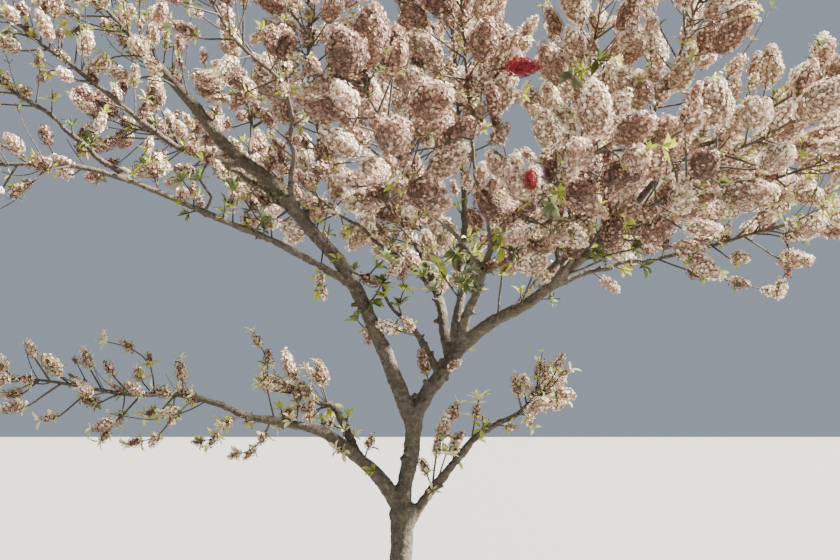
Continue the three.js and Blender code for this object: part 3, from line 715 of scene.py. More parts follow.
# %% Grow the named twigs
# A row: the limb that the twig leaves, where on it, the twig's radius, its points with their tufts.
NAMED_TWIGS = [
    ("low_left_bough", 0.86, 0.006,
     [(-1.06, -0.46, 1.36, 0.3), (-1.13, -0.5, 1.27, 0.34), (-1.22, -0.5, 1.25, 0.3)]),
    ("low_left_mass", 0.22, 0.006,
     [(-1.4, -0.55, 1.4, 0.3), (-1.47, -0.6, 1.28, 0.34), (-1.58, -0.62, 1.25, 0.34)]),
    ("low_left_mass", 0.42, 0.005,
     [(-1.72, -0.5, 1.42, 0.3), (-1.8, -0.52, 1.3, 0.32)]),
    ("low_left_mass", 0.3, 0.005,
     [(-1.56, -0.46, 1.72, 0.34), (-1.68, -0.48, 1.82, 0.34), (-1.82, -0.5, 1.86, 0)]),
    ("low_left_bough", 0.72, 0.006,
     [(-0.86, -0.3, 1.28, 0.3), (-0.93, -0.32, 1.19, 0.32), (-1.02, -0.33, 1.16, 0.3)]),
    ("low_left_bough", 0.6, 0.006,
     [(-0.66, -0.2, 1.5, 0.34), (-0.75, -0.24, 1.59, 0.32), (-0.86, -0.3, 1.62, 0)]),
    ("low_left_bough", 0.7, 0.006,
     [(-0.85, -0.3, 1.6, 0.36), (-0.84, -0.32, 1.74, 0.34), (-0.9, -0.33, 1.86, 0.32)]),
    ("low_right_bough", 0.28, 0.007,
     [(0.24, 0.0, 1.16, 0.42), (0.27, -0.02, 1.27, 0.48), (0.33, 0, 1.38, 0.42)]),
    ("low_right_bough", 0.32, 0.006,
     [(0.3, -0.02, 1.14, 0), (0.36, -0.03, 1.22, 0.36)]),
    ("low_right_bough", 0.62, 0.006,
     [(0.5, 0.03, 1.4, 0.32), (0.52, 0.02, 1.5, 0)]),
    ("fork_spur", 0.97, 0.014,
     [(-0.05, -0.05, 2.1, None), (-0.1, -0.08, 2.18, 0), (-0.12, -0.1, 2.27, 0)]),
    ("fork_spur", 0.9, 0.009,
     [(-0.01, -0.06, 2.12, 0), (0.02, -0.08, 2.22, 0), (0.01, -0.1, 2.32, 0.42)]),
    ("fork_spur", 0.6, 0.008,
     [(0.03, -0.1, 1.94, None), (-0.03, -0.14, 1.96, 0.5)]),
    ("left_main_bough", 0.42, 0.006,
     [(-0.52, -0.24, 2.3, 0.4), (-0.5, -0.28, 2.22, 0.36)]),
    ("left_main_bough", 0.3, 0.008,
     [(-0.2, -0.16, 2.14, 0), (-0.13, -0.18, 2.24, 0), (-0.06, -0.2, 2.32, 0.46)]),
    ("left_main_bough", 0.36, 0.008,
     [(-0.24, -0.2, 2.3, 0.42), (-0.16, -0.22, 2.36, 0), (-0.1, -0.22, 2.42, 0)]),
    ("left_main_bough", 0.24, 0.006,
     [(-0.22, -0.1, 1.96, 0.36), (-0.28, -0.12, 2.02, 0)]),
    ("centre_riser", 0.3, 0.008,
     [(0.3, -0.06, 2.3, 0), (0.24, -0.1, 2.4, 0), (0.2, -0.12, 2.5, 0.46)]),
    ("centre_riser", 0.4, 0.008,
     [(0.44, -0.04, 2.4, 0), (0.5, -0.08, 2.48, 0), (0.58, -0.1, 2.56, 0.46)]),
    ("front_bough", 0.3, 0.008,
     [(0.5, -0.2, 2.2, 0), (0.52, -0.24, 2.32, 0), (0.48, -0.28, 2.42, 0)]),
    ("rear_bough", 0.3, 0.008,
     [(0.22, 0.3, 2.25, 0), (0.16, 0.32, 2.36, 0), (0.1, 0.34, 2.45, 0.46)]),
    ("right_long_bough", 0.2, 0.008,
     [(0.66, -0.3, 2.3, 0), (0.72, -0.42, 2.4, 0.62), (0.7, -0.5, 2.54, 0.7)]),
    ("right_long_bough", 0.3, 0.008,
     [(0.86, -0.4, 2.32, 0.6), (0.92, -0.52, 2.44, 0.78), (0.95, -0.58, 2.6, 0.7)]),
    ("right_long_bough", 0.42, 0.008,
     [(1.08, -0.46, 2.42, 0.66), (1.12, -0.6, 2.56, 0.84), (1.1, -0.66, 2.72, 0.7)]),
    ("right_long_bough", 0.5, 0.008,
     [(1.28, -0.44, 2.38, 0), (1.3, -0.58, 2.46, 0.8), (1.36, -0.64, 2.6, 0.72)]),
    ("right_long_bough", 0.6, 0.008,
     [(1.46, -0.5, 2.44, 0), (1.54, -0.62, 2.5, 0.8), (1.6, -0.68, 2.66, 0.74)]),
    ("right_long_bough", 0.72, 0.008,
     [(1.72, -0.6, 2.44, 0.66), (1.8, -0.68, 2.36, 0.72), (1.86, -0.7, 2.28, 0)]),
    ("right_low_bough", 0.9, 0.006,
     [(1.86, -0.36, 2.32, 0.4), (2.1, -0.48, 2.24, 0.4), (2.3, -0.52, 2.18, 0.4)]),
    ("right_low_mass", 0.55, 0.006,
     [(2.4, -0.6, 2.5, 0.36), (2.4, -0.62, 2.34, 0.36), (2.36, -0.62, 2.22, 0.4)]),
    ("left_long_bough", 0.42, 0.006,
     [(-0.87, -0.46, 2.63, 0), (-0.91, -0.48, 2.71, 0.34)]),
    ("left_long_bough", 0.55, 0.007,
     [(-1.08, -0.56, 2.7, 0), (-1.04, -0.58, 2.8, 0), (-1.1, -0.6, 2.9, 0.4)]),
    ("left_long_bough", 0.62, 0.011,
     [(-1.17, -0.6, 2.76, None), (-1.24, -0.62, 2.86, 0), (-1.19, -0.63, 2.97, 0.42)]),
    ("left_long_bough", 0.66, 0.006,
     [(-1.28, -0.62, 2.76, 0.36), (-1.34, -0.64, 2.85, 0)]),
    ("left_long_bough", 0.78, 0.006,
     [(-1.5, -0.72, 2.86, 0.38), (-1.56, -0.74, 2.94, 0), (-1.54, -0.75, 3.02, 0.36)]),
    ("left_far_bough", 0.4, 0.006,
     [(-1.86, -0.84, 3.04, 0), (-1.82, -0.84, 3.14, 0.4)]),
    ("left_main_bough", 0.56, 0.009,
     [(-0.86, -0.4, 2.62, None), (-0.94, -0.44, 2.7, 0), (-1, -0.46, 2.79, 0.4)]),
    ("right_front_riser_mass", 0.4, 0.0045,
     [(1.8, -0.98, 3.5, 0.4), (1.88, -1.02, 3.62, 0), (1.98, -1.04, 3.74, 0), (2.06, -1.06, 3.84, 0)]),
    ("right_front_riser_mass", 0.3, 0.0045,
     [(1.86, -0.96, 3.3, 0), (1.98, -1, 3.44, 0.44), (2.1, -1.04, 3.62, 0), (2.22, -1.06, 3.82, 0)]),
    ("right_long_mass", 0.5, 0.0045,
     [(2.14, -0.98, 3.2, 0.5), (2.34, -1.02, 3.36, 0.42), (2.5, -1.04, 3.52, 0)]),
    ("right_long_mass", 0.96, 0.006,
     [(2.48, -1.06, 3.46, 0), (2.5, -1.1, 3.56, 0)]),
    ("right_riser_mass", 0.6, 0.006,
     [(1.2, -0.28, 3.66, 0), (1.13, -0.36, 3.6, 0)]),
    ("right_riser_mass", 0.64, 0.006,
     [(1.3, -0.3, 3.72, 0), (1.38, -0.38, 3.68, 0), (1.42, -0.42, 3.6, 0)]),
    ("front_mass", 0.95, 0.006,
     [(1.28, -1.84, 2.84, 0), (1.38, -1.86, 2.8, 0)]),
    ("right_front_mass", 0.38, 0.006,
     [(1.72, -1.3, 2.76, 0), (1.8, -1.36, 2.7, 0), (1.86, -1.38, 2.62, 0)]),
    ("front_left_mass", 0.85, 0.006,
     [(-0.1, -1.98, 3.16, 0), (-0.05, -2, 3.24, 0)]),
    ("front_mass", 0.45, 0.006,
     [(0.92, -1.2, 2.68, 0), (0.88, -1.25, 2.6, 0)]),
    ("front_left_bough", 0.3, 0.008,
     [(0.36, -0.46, 2.42, 0), (0.28, -0.5, 2.36, 0)]),
    ("front_left_bough", 0.06, 0.008,
     [(0.48, -0.42, 2.3, 0), (0.42, -0.48, 2.24, 0)]),
    ("front_bough", 0.72, 0.008,
     [(0.64, -0.48, 2.46, 0), (0.72, -0.52, 2.42, 0)]),
    ("front_riser_mass", 0.4, 0.0045,
     [(0.56, -1.16, 3.41, None), (0.66, -1.22, 3.4, 0.56)]),
    ("front_mass", 0.3, 0.0045,
     [(0.74, -1.5, 2.58, None), (0.73, -1.57, 2.66, 0.32)]),
]
SLENDER = 0.005
TUFT_SINK = 0.03
TUFT_LIFT = 0.02
# The tuft nearest to each of these places opens crimson.
CRIMSON_PLACES = [(0.73, -1.24, 3.4), (0.72, -1.59, 2.69)]
leaf_twigs = []
for name, share, radius, points in NAMED_TWIGS:
    places = [point_along(lines[name], share), *(np.array(point[:3]) for point in points)]
    add_twig(places, radius)
    for before, place, (*_, size) in zip(places[:-1], places[1:], points):
        ahead = unit(place - before)
        if size:
            add_tuft(name, tuft_at(place - ahead * TUFT_SINK, unit(ahead + UP * TUFT_LIFT), size))
        elif size is not None:
            leaf_twigs.append({"spot": place, "axis": ahead, "owner": name, "small": radius < SLENDER})
for place in CRIMSON_PLACES:
    nearest = min(tufts, key=lambda tuft: np.linalg.norm(tuft["middle"] - place))
    nearest["family"] = "crimson"
print("tufts in all", len(tufts), "leafy places", len(leaf_twigs))

# %% [markdown]
# ## Materials
#
# Every colour that has a place is a base colour of its own piece, so no picture is painted over the
# crown. Noise then breaks the colour up a little, as it does on real petals, leaves and bark.

# %% Helpers for materials


def link(source, target):
    """Joins an output to an input in the node tree that both are in."""
    source.id_data.links.new(source, target)


def new_material(name, base, roughness):
    """A material with a plain colour, its node tree, and the shader in it."""
    material = bpy.data.materials.new(name)
    material.use_nodes = True
    shader = material.node_tree.nodes["Principled BSDF"]
    shader.inputs["Base Color"].default_value = (*base, 1)
    shader.inputs["Roughness"].default_value = roughness
    return material, material.node_tree, shader


def add_node(tree, kind, **inputs):
    """A new node. Each of its inputs that is named gets a constant, or a link from an output."""
    node = tree.nodes.new("ShaderNode" + kind)
    for name, value in inputs.items():
        if isinstance(value, bpy.types.NodeSocket):
            link(value, node.inputs[name])
        else:
            node.inputs[name].default_value = value
    return node


def add_texture(tree, kind, **inputs):
    """A texture that lies in the piece's own coordinates."""
    place = add_node(tree, "TexCoord")
    return add_node(tree, "Tex" + kind, Vector=place.outputs["Object"], **inputs)


def add_ramp(tree, source, stops):
    """Colours for a value, from stops that are each a position and a colour."""
    ramp = add_node(tree, "ValToRGB", Fac=source)
    elements = ramp.color_ramp.elements
    while len(elements) < len(stops):
        elements.new(0.5)
    for element, (position, color) in zip(elements, stops):
        element.position = position
        element.color = (*color, 1)
    return ramp.outputs["Color"]


def add_bump(tree, shader, height, strength, distance):
    bump = add_node(tree, "Bump", Strength=strength, Distance=distance, Height=height)
    link(bump.outputs["Normal"], shader.inputs["Normal"])


print("helpers for materials ready")

# %% Bark
BARK_CRACK = (0.02, 0.014, 0.011)
BARK_DARK = (0.05, 0.039, 0.03)
BARK_MID = (0.085, 0.067, 0.051)
BARK_PALE = (0.175, 0.145, 0.115)
BARK_LICHEN = (0.1, 0.094, 0.05)
BARK_STOPS = [(0.28, BARK_CRACK), (0.4, BARK_DARK), (0.54, BARK_MID), (0.74, BARK_PALE)]
LICHEN_STOPS = [(0.5, (0, 0, 0)), (0.68, (0.5, 0.5, 0.5))]


def bark_material(name, fine):
    """Weathered grey-brown bark: dark cracks, pale worn plates and patches of olive lichen."""
    material, tree, shader = new_material(name, BARK_MID, roughness=0.92)
    plates = add_texture(tree, "Noise", Scale=34 * fine, Detail=9, Roughness=0.68).outputs["Fac"]
    patches = add_texture(tree, "Noise", Scale=7 * fine, Detail=5, Roughness=0.55).outputs["Fac"]
    mix = add_node(tree, "Mix")
    mix.data_type = "RGBA"
    link(add_ramp(tree, patches, LICHEN_STOPS), mix.inputs["Factor"])
    link(add_ramp(tree, plates, BARK_STOPS), mix.inputs["A"])
    mix.inputs["B"].default_value = (*BARK_LICHEN, 1)
    link(mix.outputs["Result"], shader.inputs["Base Color"])
    cracks = add_texture(tree, "Voronoi", Scale=60 * fine)
    cracks.feature = "DISTANCE_TO_EDGE"
    height = add_node(tree, "Math")
    height.operation = "ADD"
    link(cracks.outputs["Distance"], height.inputs[0])
    link(plates, height.inputs[1])
    add_bump(tree, shader, height.outputs["Value"], strength=0.9, distance=0.008)
    return material


bark = bark_material("bark", 1)
twig_bark = bark_material("twig_bark", 1.8)
print("bark materials ready")

# %% Petals, leaves and buds
PETALS = {
    "ivory": (0.96, 0.84, 0.69),
    "shell": (0.61, 0.435, 0.33),
    "rose": (0.37, 0.215, 0.155),
    "dusk": (0.20, 0.10, 0.067),
    "umber": (0.095, 0.046, 0.028),
    "crimson": (0.28, 0.012, 0.026),
    # Cream is partly the low clusters' own cream-green and partly painted shade: it is darkened for the shade
    # under the crown.
    "cream": (0.44, 0.385, 0.215),
}
LEAVES = {
    "spring": (0.34, 0.38, 0.06),
    "green": (0.115, 0.15, 0.036),
    "sage": (0.15, 0.165, 0.085),
    "pale": (0.56, 0.54, 0.30),
}
# A heart's buds are darker than its petals: partly their own brownish colour, partly painted shade between
# the flowers.
HEARTS = {
    # (the buds, the gaps between them, darkened as painted shade)
    "ivory": ((0.56, 0.41, 0.30), (0.15, 0.09, 0.055)),
    "rose": ((0.33, 0.19, 0.135), (0.09, 0.048, 0.03)),
    "dusk": ((0.17, 0.088, 0.06), (0.04, 0.02, 0.013)),
    "crimson": ((0.2, 0.01, 0.02), (0.06, 0.006, 0.008)),
}
BUDS_PER_METRE = 80
# The share of the light that passes through.
PETAL_GLOW = 0.14
LEAF_GLOW = 0.3


def thin_material(name, base, through):
    """A petal or a leaf: soft, a little uneven in colour, and it lets some light through."""
    material, tree, shader = new_material(name, base, roughness=0.6)
    cloud = add_texture(tree, "Noise", Scale=14, Detail=3, Roughness=0.55).outputs["Fac"]
    dark, light = (tuple(min(change * part, 1) for part in base) for change in (0.84, 1.12))
    shade = add_ramp(tree, cloud, [(0.3, dark), (0.7, light)])
    link(shade, shader.inputs["Base Color"])
    glow = add_node(tree, "BsdfTranslucent", Color=shade)
    both = add_node(tree, "MixShader", Fac=through)
    link(shader.outputs["BSDF"], both.inputs[1])
    link(glow.outputs["BSDF"], both.inputs[2])
    link(both.outputs["Shader"], tree.nodes["Material Output"].inputs["Surface"])
    return material


def heart_material(name, buds, gaps):
    """Closed buds packed side by side, with painted shade darkening the gaps between them."""
    material, tree, shader = new_material(name, buds, roughness=0.8)
    cells = add_texture(tree, "Voronoi", Scale=BUDS_PER_METRE).outputs["Distance"]
    link(add_ramp(tree, cells, [(0.15, buds), (0.62, gaps)]), shader.inputs["Base Color"])
    dome = add_node(tree, "Math")
    dome.operation = "SUBTRACT"
    dome.inputs[0].default_value = 1
    link(cells, dome.inputs[1])
    add_bump(tree, shader, dome.outputs["Value"], strength=1, distance=0.012)
    return material


petal_materials = {name: thin_material("petal_" + name, base, PETAL_GLOW) for name, base in PETALS.items()}
leaf_materials = {name: thin_material("leaf_" + name, base, LEAF_GLOW) for name, base in LEAVES.items()}
heart_materials = {name: heart_material("heart_" + name, *pair) for name, pair in HEARTS.items()}
print(len(petal_materials), "petal colours and", len(leaf_materials), "leaf colours")

# %% [markdown]
# ## One flower, one leaf, one tuft's heart
#
# What is repeated thousands of times is modelled once, by hand, with only a few faces. A flower
# starts as one petal: a square with its inner side merged to a point and its outer side lifted.
# Copies of it are spun round that point to make five. A leaf starts as a small grid that is drawn to
# a point at both ends, folded along its midrib and curled. A heart is a ball of packed buds.

# %% Helpers for modelling by hand


def start_clean():
    """Nothing stays selected, so that an operator acts only on what comes next."""
    bpy.ops.object.select_all(action="DESELECT")


def pick(thing, test):
    """In edit mode, selects the vertices whose place passes a test and nothing else."""
    mesh = bmesh.from_edit_mesh(thing.data)
    for element in (*mesh.verts, *mesh.edges, *mesh.faces):
        element.select = False
    for vertex in mesh.verts:
        if test(vertex.co):
            vertex.select = True
    mesh.select_flush(True)
    bmesh.update_edit_mesh(thing.data)


def place_of(thing):
    """A finished model's vertex places and triangles as arrays. The model itself is removed."""
    bpy.ops.object.mode_set(mode="OBJECT")
    mesh = thing.data
    mesh.calc_loop_triangles()
    spots = np.array([tuple(vertex.co) for vertex in mesh.vertices])
    faces = np.array([tuple(triangle.vertices) for triangle in mesh.loop_triangles])
    bpy.data.objects.remove(thing)
    return spots, faces


print("helpers for modelling ready")

# %% Model the flower
PETAL_WIDTH = 1.05
PETAL_LIFT = 0.42

start_clean()
bpy.ops.mesh.primitive_plane_add(size=1, location=(0, 0.5, 0))
flower = bpy.context.object
bpy.ops.object.transform_apply(location=True, rotation=False, scale=False)
bpy.ops.object.mode_set(mode="EDIT")
pick(flower, lambda co: co.y < 0.1)
bpy.ops.mesh.merge(type="CENTER")
pick(flower, lambda co: co.y > 0.9)
bpy.ops.transform.resize(value=(PETAL_WIDTH, 1, 1))
bpy.ops.transform.translate(value=(0, 0, PETAL_LIFT))
bpy.ops.mesh.select_all(action="SELECT")
bpy.ops.mesh.spin(steps=4, dupli=True, angle=FULL_TURN * 4 / 5, center=(0, 0, 0), axis=(0, 0, 1))
bpy.ops.mesh.select_all(action="SELECT")
bpy.ops.mesh.remove_doubles(threshold=0.001)
flower_shape = place_of(flower)
print("flower corners and triangles", len(flower_shape[0]), len(flower_shape[1]))

# %% Model the leaf
LEAF_ROWS = {-0.25: 0.3, 0.0: 0.4, 0.25: 0.31}
NEAR = 0.01

start_clean()
bpy.ops.mesh.primitive_grid_add(x_subdivisions=2, y_subdivisions=4, size=1)
leaf = bpy.context.object
bpy.ops.object.mode_set(mode="EDIT")
for row, width in LEAF_ROWS.items():
    pick(leaf, lambda co: abs(co.y - row) < NEAR)
    bpy.ops.transform.resize(value=(width, 1, 1))
for end in (-0.5, 0.5):
    pick(leaf, lambda co: abs(co.y - end) < NEAR)
    bpy.ops.mesh.merge(type="CENTER")
# The sides fold up from the midrib, then the front part and the tip curl down.
for test, rise in ((lambda co: abs(co.x) > NEAR, 0.09), (lambda co: co.y > 0.2, -0.04),
                   (lambda co: co.y > 0.4, -0.1)):
    pick(leaf, test)
    bpy.ops.transform.translate(value=(0, 0, rise))
leaf_spots, leaf_faces = place_of(leaf)
leaf_shape = (leaf_spots + np.array([0, 0.5, 0]), leaf_faces)
print("leaf triangles", len(leaf_shape[1]))

# %% Model the heart of a tuft
TIP_WIDTH = 0.8


def model_heart(fineness):
    """A ball drawn in a little towards its tip and made uneven, as packed buds are."""
    start_clean()
    bpy.ops.mesh.primitive_ico_sphere_add(subdivisions=fineness, radius=1)
    heart = bpy.context.object
    bpy.ops.object.mode_set(mode="EDIT")
    pick(heart, lambda co: co.z > 0.4)
    bpy.ops.transform.resize(value=(TIP_WIDTH, TIP_WIDTH, 1))
    bpy.ops.mesh.select_all(action="SELECT")
    bpy.ops.transform.vertex_random(offset=0.09, uniform=0.4, normal=0.5, seed=4)
    return place_of(heart)


heart_shape = model_heart(2)
small_heart_shape = model_heart(1)
print("heart triangles", len(heart_shape[1]), len(small_heart_shape[1]))

# %% [markdown]
# ## Many copies as one mesh
#
# A hundred thousand separate objects would be slow, and an export would drop instances. So each kind
# is joined: every copy's place is worked out with arrays and written into one mesh, or into a few
# where it has too many triangles for one.

# %% Helpers that join copies and bars
PIECE_LIMIT = 190000


def frames_along(normals, spins):
    """For each normal, the three sides of a frame that stands on it, turned by its spin."""
    normals = normals / np.linalg.norm(normals, axis=1)[:, None]
    helper = np.where(np.abs(normals[:, 2:]) < NEARLY_UPRIGHT, UP, ACROSS)
    first = np.cross(normals, helper)
    first /= np.linalg.norm(first, axis=1)[:, None]
    second = np.cross(normals, first)
    x = first * np.cos(spins)[:, None] + second * np.sin(spins)[:, None]
    return np.stack([x, np.cross(normals, x), normals], axis=1)


def mesh_piece(name, spots, faces, material, smooth=False):
    """A mesh object from arrays of places and triangles, riding on the tree."""
    mesh = bpy.data.meshes.new(name)
    mesh.vertices.add(len(spots))
    mesh.vertices.foreach_set("co", spots.astype(np.float32).ravel())
    mesh.loops.add(3 * len(faces))
    mesh.loops.foreach_set("vertex_index", faces.astype(np.int32).ravel())
    mesh.polygons.add(len(faces))
    mesh.polygons.foreach_set("loop_start", np.arange(0, 3 * len(faces), 3, dtype=np.int32))
    mesh.polygons.foreach_set("use_smooth", np.full(len(faces), smooth))
    mesh.update(calc_edges=True)
    mesh.materials.append(material)
    piece = bpy.data.objects.new(name, mesh)
    bpy.context.collection.objects.link(piece)
    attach(piece, "root")
    return piece


def joined_copies(name, shape, places, sides, material):
    """Copies of one shape, in as many pieces as its triangles need."""
    spots, faces = shape
    most = PIECE_LIMIT // len(faces)
    for part, start in enumerate(range(0, len(places), most)):
        some, sides_here = places[start:start + most], sides[start:start + most]
        moved = np.einsum("vi,nij->nvj", spots, sides_here) + some[:, None, :]
        numbers = faces[None] + (np.arange(len(some)) * len(spots))[:, None, None]
        piece = mesh_piece(f"{name}_{part + 1}", moved.reshape(-1, 3), numbers.reshape(-1, 3), material)
    print(name, len(places), "copies,", len(places) * len(faces), "triangles")


def smooth_line(line, radii, steps):
    """More points on a smooth curve through a line's points, with their radii."""
    padded = np.vstack([2 * line[0] - line[1], line, 2 * line[-1] - line[-2]])
    points, widths = [], []
    for place in np.linspace(0, len(line) - PAST_LAST_STEP, steps + 1):
        step, t = int(place), place - int(place)
        p0, p1, p2, p3 = padded[step:step + 4]
        curve = 2 * p1 + (p2 - p0) * t + (2 * p0 - 5 * p1 + 4 * p2 - p3) * t * t
        points.append((curve + (3 * p1 - p0 - 3 * p2 + p3) * t ** 3) / 2)
        widths.append(radii[step] + (radii[step + 1] - radii[step]) * t)
    return np.array(points), np.array(widths)


def bar_arrays(line, radii, sides):
    """A closed round bar along a line, as places and triangles."""
    along = np.gradient(line, axis=0)
    rings = []
    across = sideways(unit(along[0]))
    for point, way, radius in zip(line, along, radii):
        way = unit(way)
        across = unit(across - way * (way @ across))
        over = np.cross(way, across)
        turns = np.linspace(0, FULL_TURN, sides, endpoint=False)
        rings.append(point + radius * (np.outer(np.cos(turns), across) + np.outer(np.sin(turns), over)))
    spots = np.vstack([*rings, line[:1], line[-1:]])
    faces = []
    last = (len(line) - 1) * sides
    for side in range(sides):
        after = (side + 1) % sides
        for ring in range(len(line) - 1):
            low, high = ring * sides, (ring + 1) * sides
            faces += [(low + side, low + after, high + after), (low + side, high + after, high + side)]
        faces += [(len(spots) - 2, after, side), (len(spots) - 1, last + side, last + after)]
    return spots, np.array(faces)


def joined_bars(name, bars, material):
    """Bars as one smooth piece."""
    spots, faces, count = [], [], 0
    for bar_spots, bar_faces in bars:
        spots.append(bar_spots)
        faces.append(bar_faces + count)
        count += len(bar_spots)
    piece = mesh_piece(name, np.vstack(spots), np.vstack(faces), material, smooth=True)
    print(name, len(bars), "bars,", len(piece.data.polygons), "triangles")
    return piece


print("a piece takes up to", PIECE_LIMIT, "triangles")

# %% [markdown]
# ## Trunk and boughs with their bark
#
# Limbs that grow into each other have no seam, so they can't be separate tubes. Each limb starts as
# a round bar, the trunk with its root flare. A voxel remesh melts them into one skin, smoothing
# rounds the forks into collars, and two displacements press the lumps and the rough bark into it.

# %% Model the trunk
ROOT_LOBES = 5
ROOT_LOBE_DEPTH = 0.16
ROOT_LOBE_HEIGHT = 0.11
TRUNK_SIDES = 40
BELOW_GROUND = 0.03
TRUNK_LEVELS = (0, 0.02, 0.045, 0.09, 0.14, 0.22, 0.33, 0.43, 0.54, 0.62, 0.68, 0.72, 0.76, 0.79, 0.815,
                TRUNK_HEIGHT)

start_clean()
bpy.ops.mesh.primitive_circle_add(vertices=TRUNK_SIDES, radius=TRUNK_WIDTHS[0][1], fill_type="NGON",
                                  location=(0, 0, -BELOW_GROUND))
trunk = bpy.context.object
bpy.ops.object.transform_apply(location=True, rotation=False, scale=False)
bpy.ops.object.mode_set(mode="EDIT")
bpy.ops.mesh.select_all(action="SELECT")
height, radius = -BELOW_GROUND, TRUNK_WIDTHS[0][1]
for level in TRUNK_LEVELS:
    wide = trunk_radius(level)
    bpy.ops.mesh.extrude_region_move(TRANSFORM_OT_translate={"value": (0, 0, level - height)})
    bpy.ops.transform.resize(value=(wide / radius, wide / radius, 1))
    height, radius = level, wide
bpy.ops.mesh.select_all(action="SELECT")
bpy.ops.mesh.normals_make_consistent(inside=False)
bpy.ops.object.mode_set(mode="OBJECT")
for vertex in trunk.data.vertices:
    x, y, z = vertex.co
    fade = math.exp(-max(z, 0) / ROOT_LOBE_HEIGHT)
    lobe = 1 + ROOT_LOBE_DEPTH * fade * math.cos(ROOT_LOBES * math.atan2(y, x))
    lean = trunk_middle(max(z, 0))[0]
    vertex.co = (x * lobe + lean, y * lobe, z)
print("trunk corners", len(trunk.data.vertices))

# %% Limbs and pruning stubs as bars
COLLAR = 0.22
COLLAR_LENGTH = 0.06
LIMB_SIDES = 12
LIMB_STEPS = 24
STUB_COUNT = 90
STUB_LEAST_LIMB = 0.021
STUB_SIDES = 8

limb_bars = []
for limb in limbs:
    line, radii = smooth_line(limb["line"], limb["radii"], LIMB_STEPS)
    shares = np.linspace(0, 1, len(radii))
    radii = radii * (1 + COLLAR * np.exp(-shares / COLLAR_LENGTH))
    limb_bars.append(bar_arrays(line, radii, LIMB_SIDES))
random = random_stream(SEEDS["stubs"])
thick = [limb for limb in limbs if limb["radii"][0] > STUB_LEAST_LIMB]
for _ in range(STUB_COUNT):
    limb = thick[int(random() * len(thick))]
    share = 0.15 + 0.75 * random()
    along, out = side_of(limb["line"], share, random() * FULL_TURN)
    out = unit(out + along * 0.35)
    foot = point_along(limb["line"], share)
    skin = skin_at(limb, share)
    stub = 0.012 + 0.036 * random()
    line = np.array([foot, foot + out * skin, foot + out * (skin + stub)])
    limb_bars.append(bar_arrays(line, [0.6 * skin, 0.42 * skin, 0.3 * skin + 0.002], STUB_SIDES))
limbs_piece = joined_bars("limbs", limb_bars, bark)

# %% Melt, smooth and roughen the limbs
VOXEL = 0.0094
# The size and the height of the lumps of the wood, and of the grain of the bark.
SWELLINGS = (0.07, 0.018)
ROUGHNESS = (0.02, 0.005)

start_clean()
trunk.select_set(True)
limbs_piece.select_set(True)
bpy.context.view_layer.objects.active = limbs_piece
bpy.ops.object.join()


def finish_with(piece, kind, **settings):
    """Adds a modifier with its settings and applies it at once."""
    modifier = piece.modifiers.new(kind.lower(), kind)
    for key, value in settings.items():
        setattr(modifier, key, value)
    bpy.ops.object.modifier_apply(modifier=modifier.name)


def press_relief(piece, name, kind, size, height):
    """Moves the skin in and out by a pattern of lumps."""
    texture = bpy.data.textures.new(name, kind)
    texture.noise_scale = size
    finish_with(piece, "DISPLACE", texture=texture, texture_coords="LOCAL", strength=height, mid_level=0.5)


finish_with(limbs_piece, "REMESH", mode="VOXEL", voxel_size=VOXEL, use_smooth_shade=True)
finish_with(limbs_piece, "SMOOTH", factor=0.5, iterations=5)
press_relief(limbs_piece, "swellings", "CLOUDS", *SWELLINGS)
press_relief(limbs_piece, "rough_bark", "STUCCI", *ROUGHNESS)
bpy.ops.object.mode_set(mode="EDIT")
bpy.ops.mesh.select_all(action="SELECT")
bpy.ops.mesh.bisect(plane_co=(0, 0, 0), plane_no=(0, 0, 1), use_fill=True, clear_inner=True)
bpy.ops.object.mode_set(mode="OBJECT")
bpy.ops.object.shade_smooth()
limbs_piece.data.materials.clear()
limbs_piece.data.materials.append(bark)
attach(limbs_piece, "root")
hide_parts(*LIMB_NODES)
limbs_piece.data.calc_loop_triangles()
print("limbs", len(limbs_piece.data.loop_triangles), "triangles")

# %% [markdown]
# ## Stems and twigs
#
# The stem of each mass goes on from its bough at the same thickness, so it starts a little way
# inside it. Twigs are thin bars that leave the stem's middle, bend up and end inside their tuft.

# %% Build stems and twigs
STEM_OVERLAP = 0.03
STEM_BAR_STEPS = 18
STEM_SIDES = 7
TWIG_SIDES = 4
TWIG_TIP = 0.55

bars = []
for mass in masses:
    ahead = unit(mass["line"][1] - mass["line"][0])
    line = np.vstack([mass["line"][0] - ahead * STEM_OVERLAP, mass["line"]])
    radii = np.concatenate([[mass["foot"]], mass["radii"]])
    bars.append(bar_arrays(*smooth_line(line, radii, STEM_BAR_STEPS), STEM_SIDES))
for twig in twigs:
    count = len(twig["line"])
    radii = np.linspace(twig["radius"], TWIG_TIP * twig["radius"], count)
    bars.append(bar_arrays(*smooth_line(twig["line"], radii, 2 * count - 2), TWIG_SIDES))
twigs_piece = joined_bars("twigs", bars, twig_bark)
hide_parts(*MASS_NODES)

# %% [markdown]
# ## Blossom
#
# A tuft is a lumpy oval heart of buds covered in flowers that face outwards, set on a spiral so that
# they cover it evenly. First every tuft gets a build of its own, slimmer and longer by chance, and
# smaller where the crown runs out thin at the left. Then it gets a family of colours, from ivory to
# dusky rose, with cream on most of the low ones, partly darkened as painted shade under the crown.
# Families run paler at the top and the sunlit right, and duskier on the shaded left and low in the
# middle: painted light and shade. In most tufts the flowers that face up are a shade paler, as painted
# light, and those that face down a shade darker, as painted shade. Flowers that would lie deep inside
# another tuft are left out.

# %% Vary the tufts
SLIMMEST = 0.7
LONGEST = 1.18
THIN_SIDE = -1
THIN_SIZE = 0.87

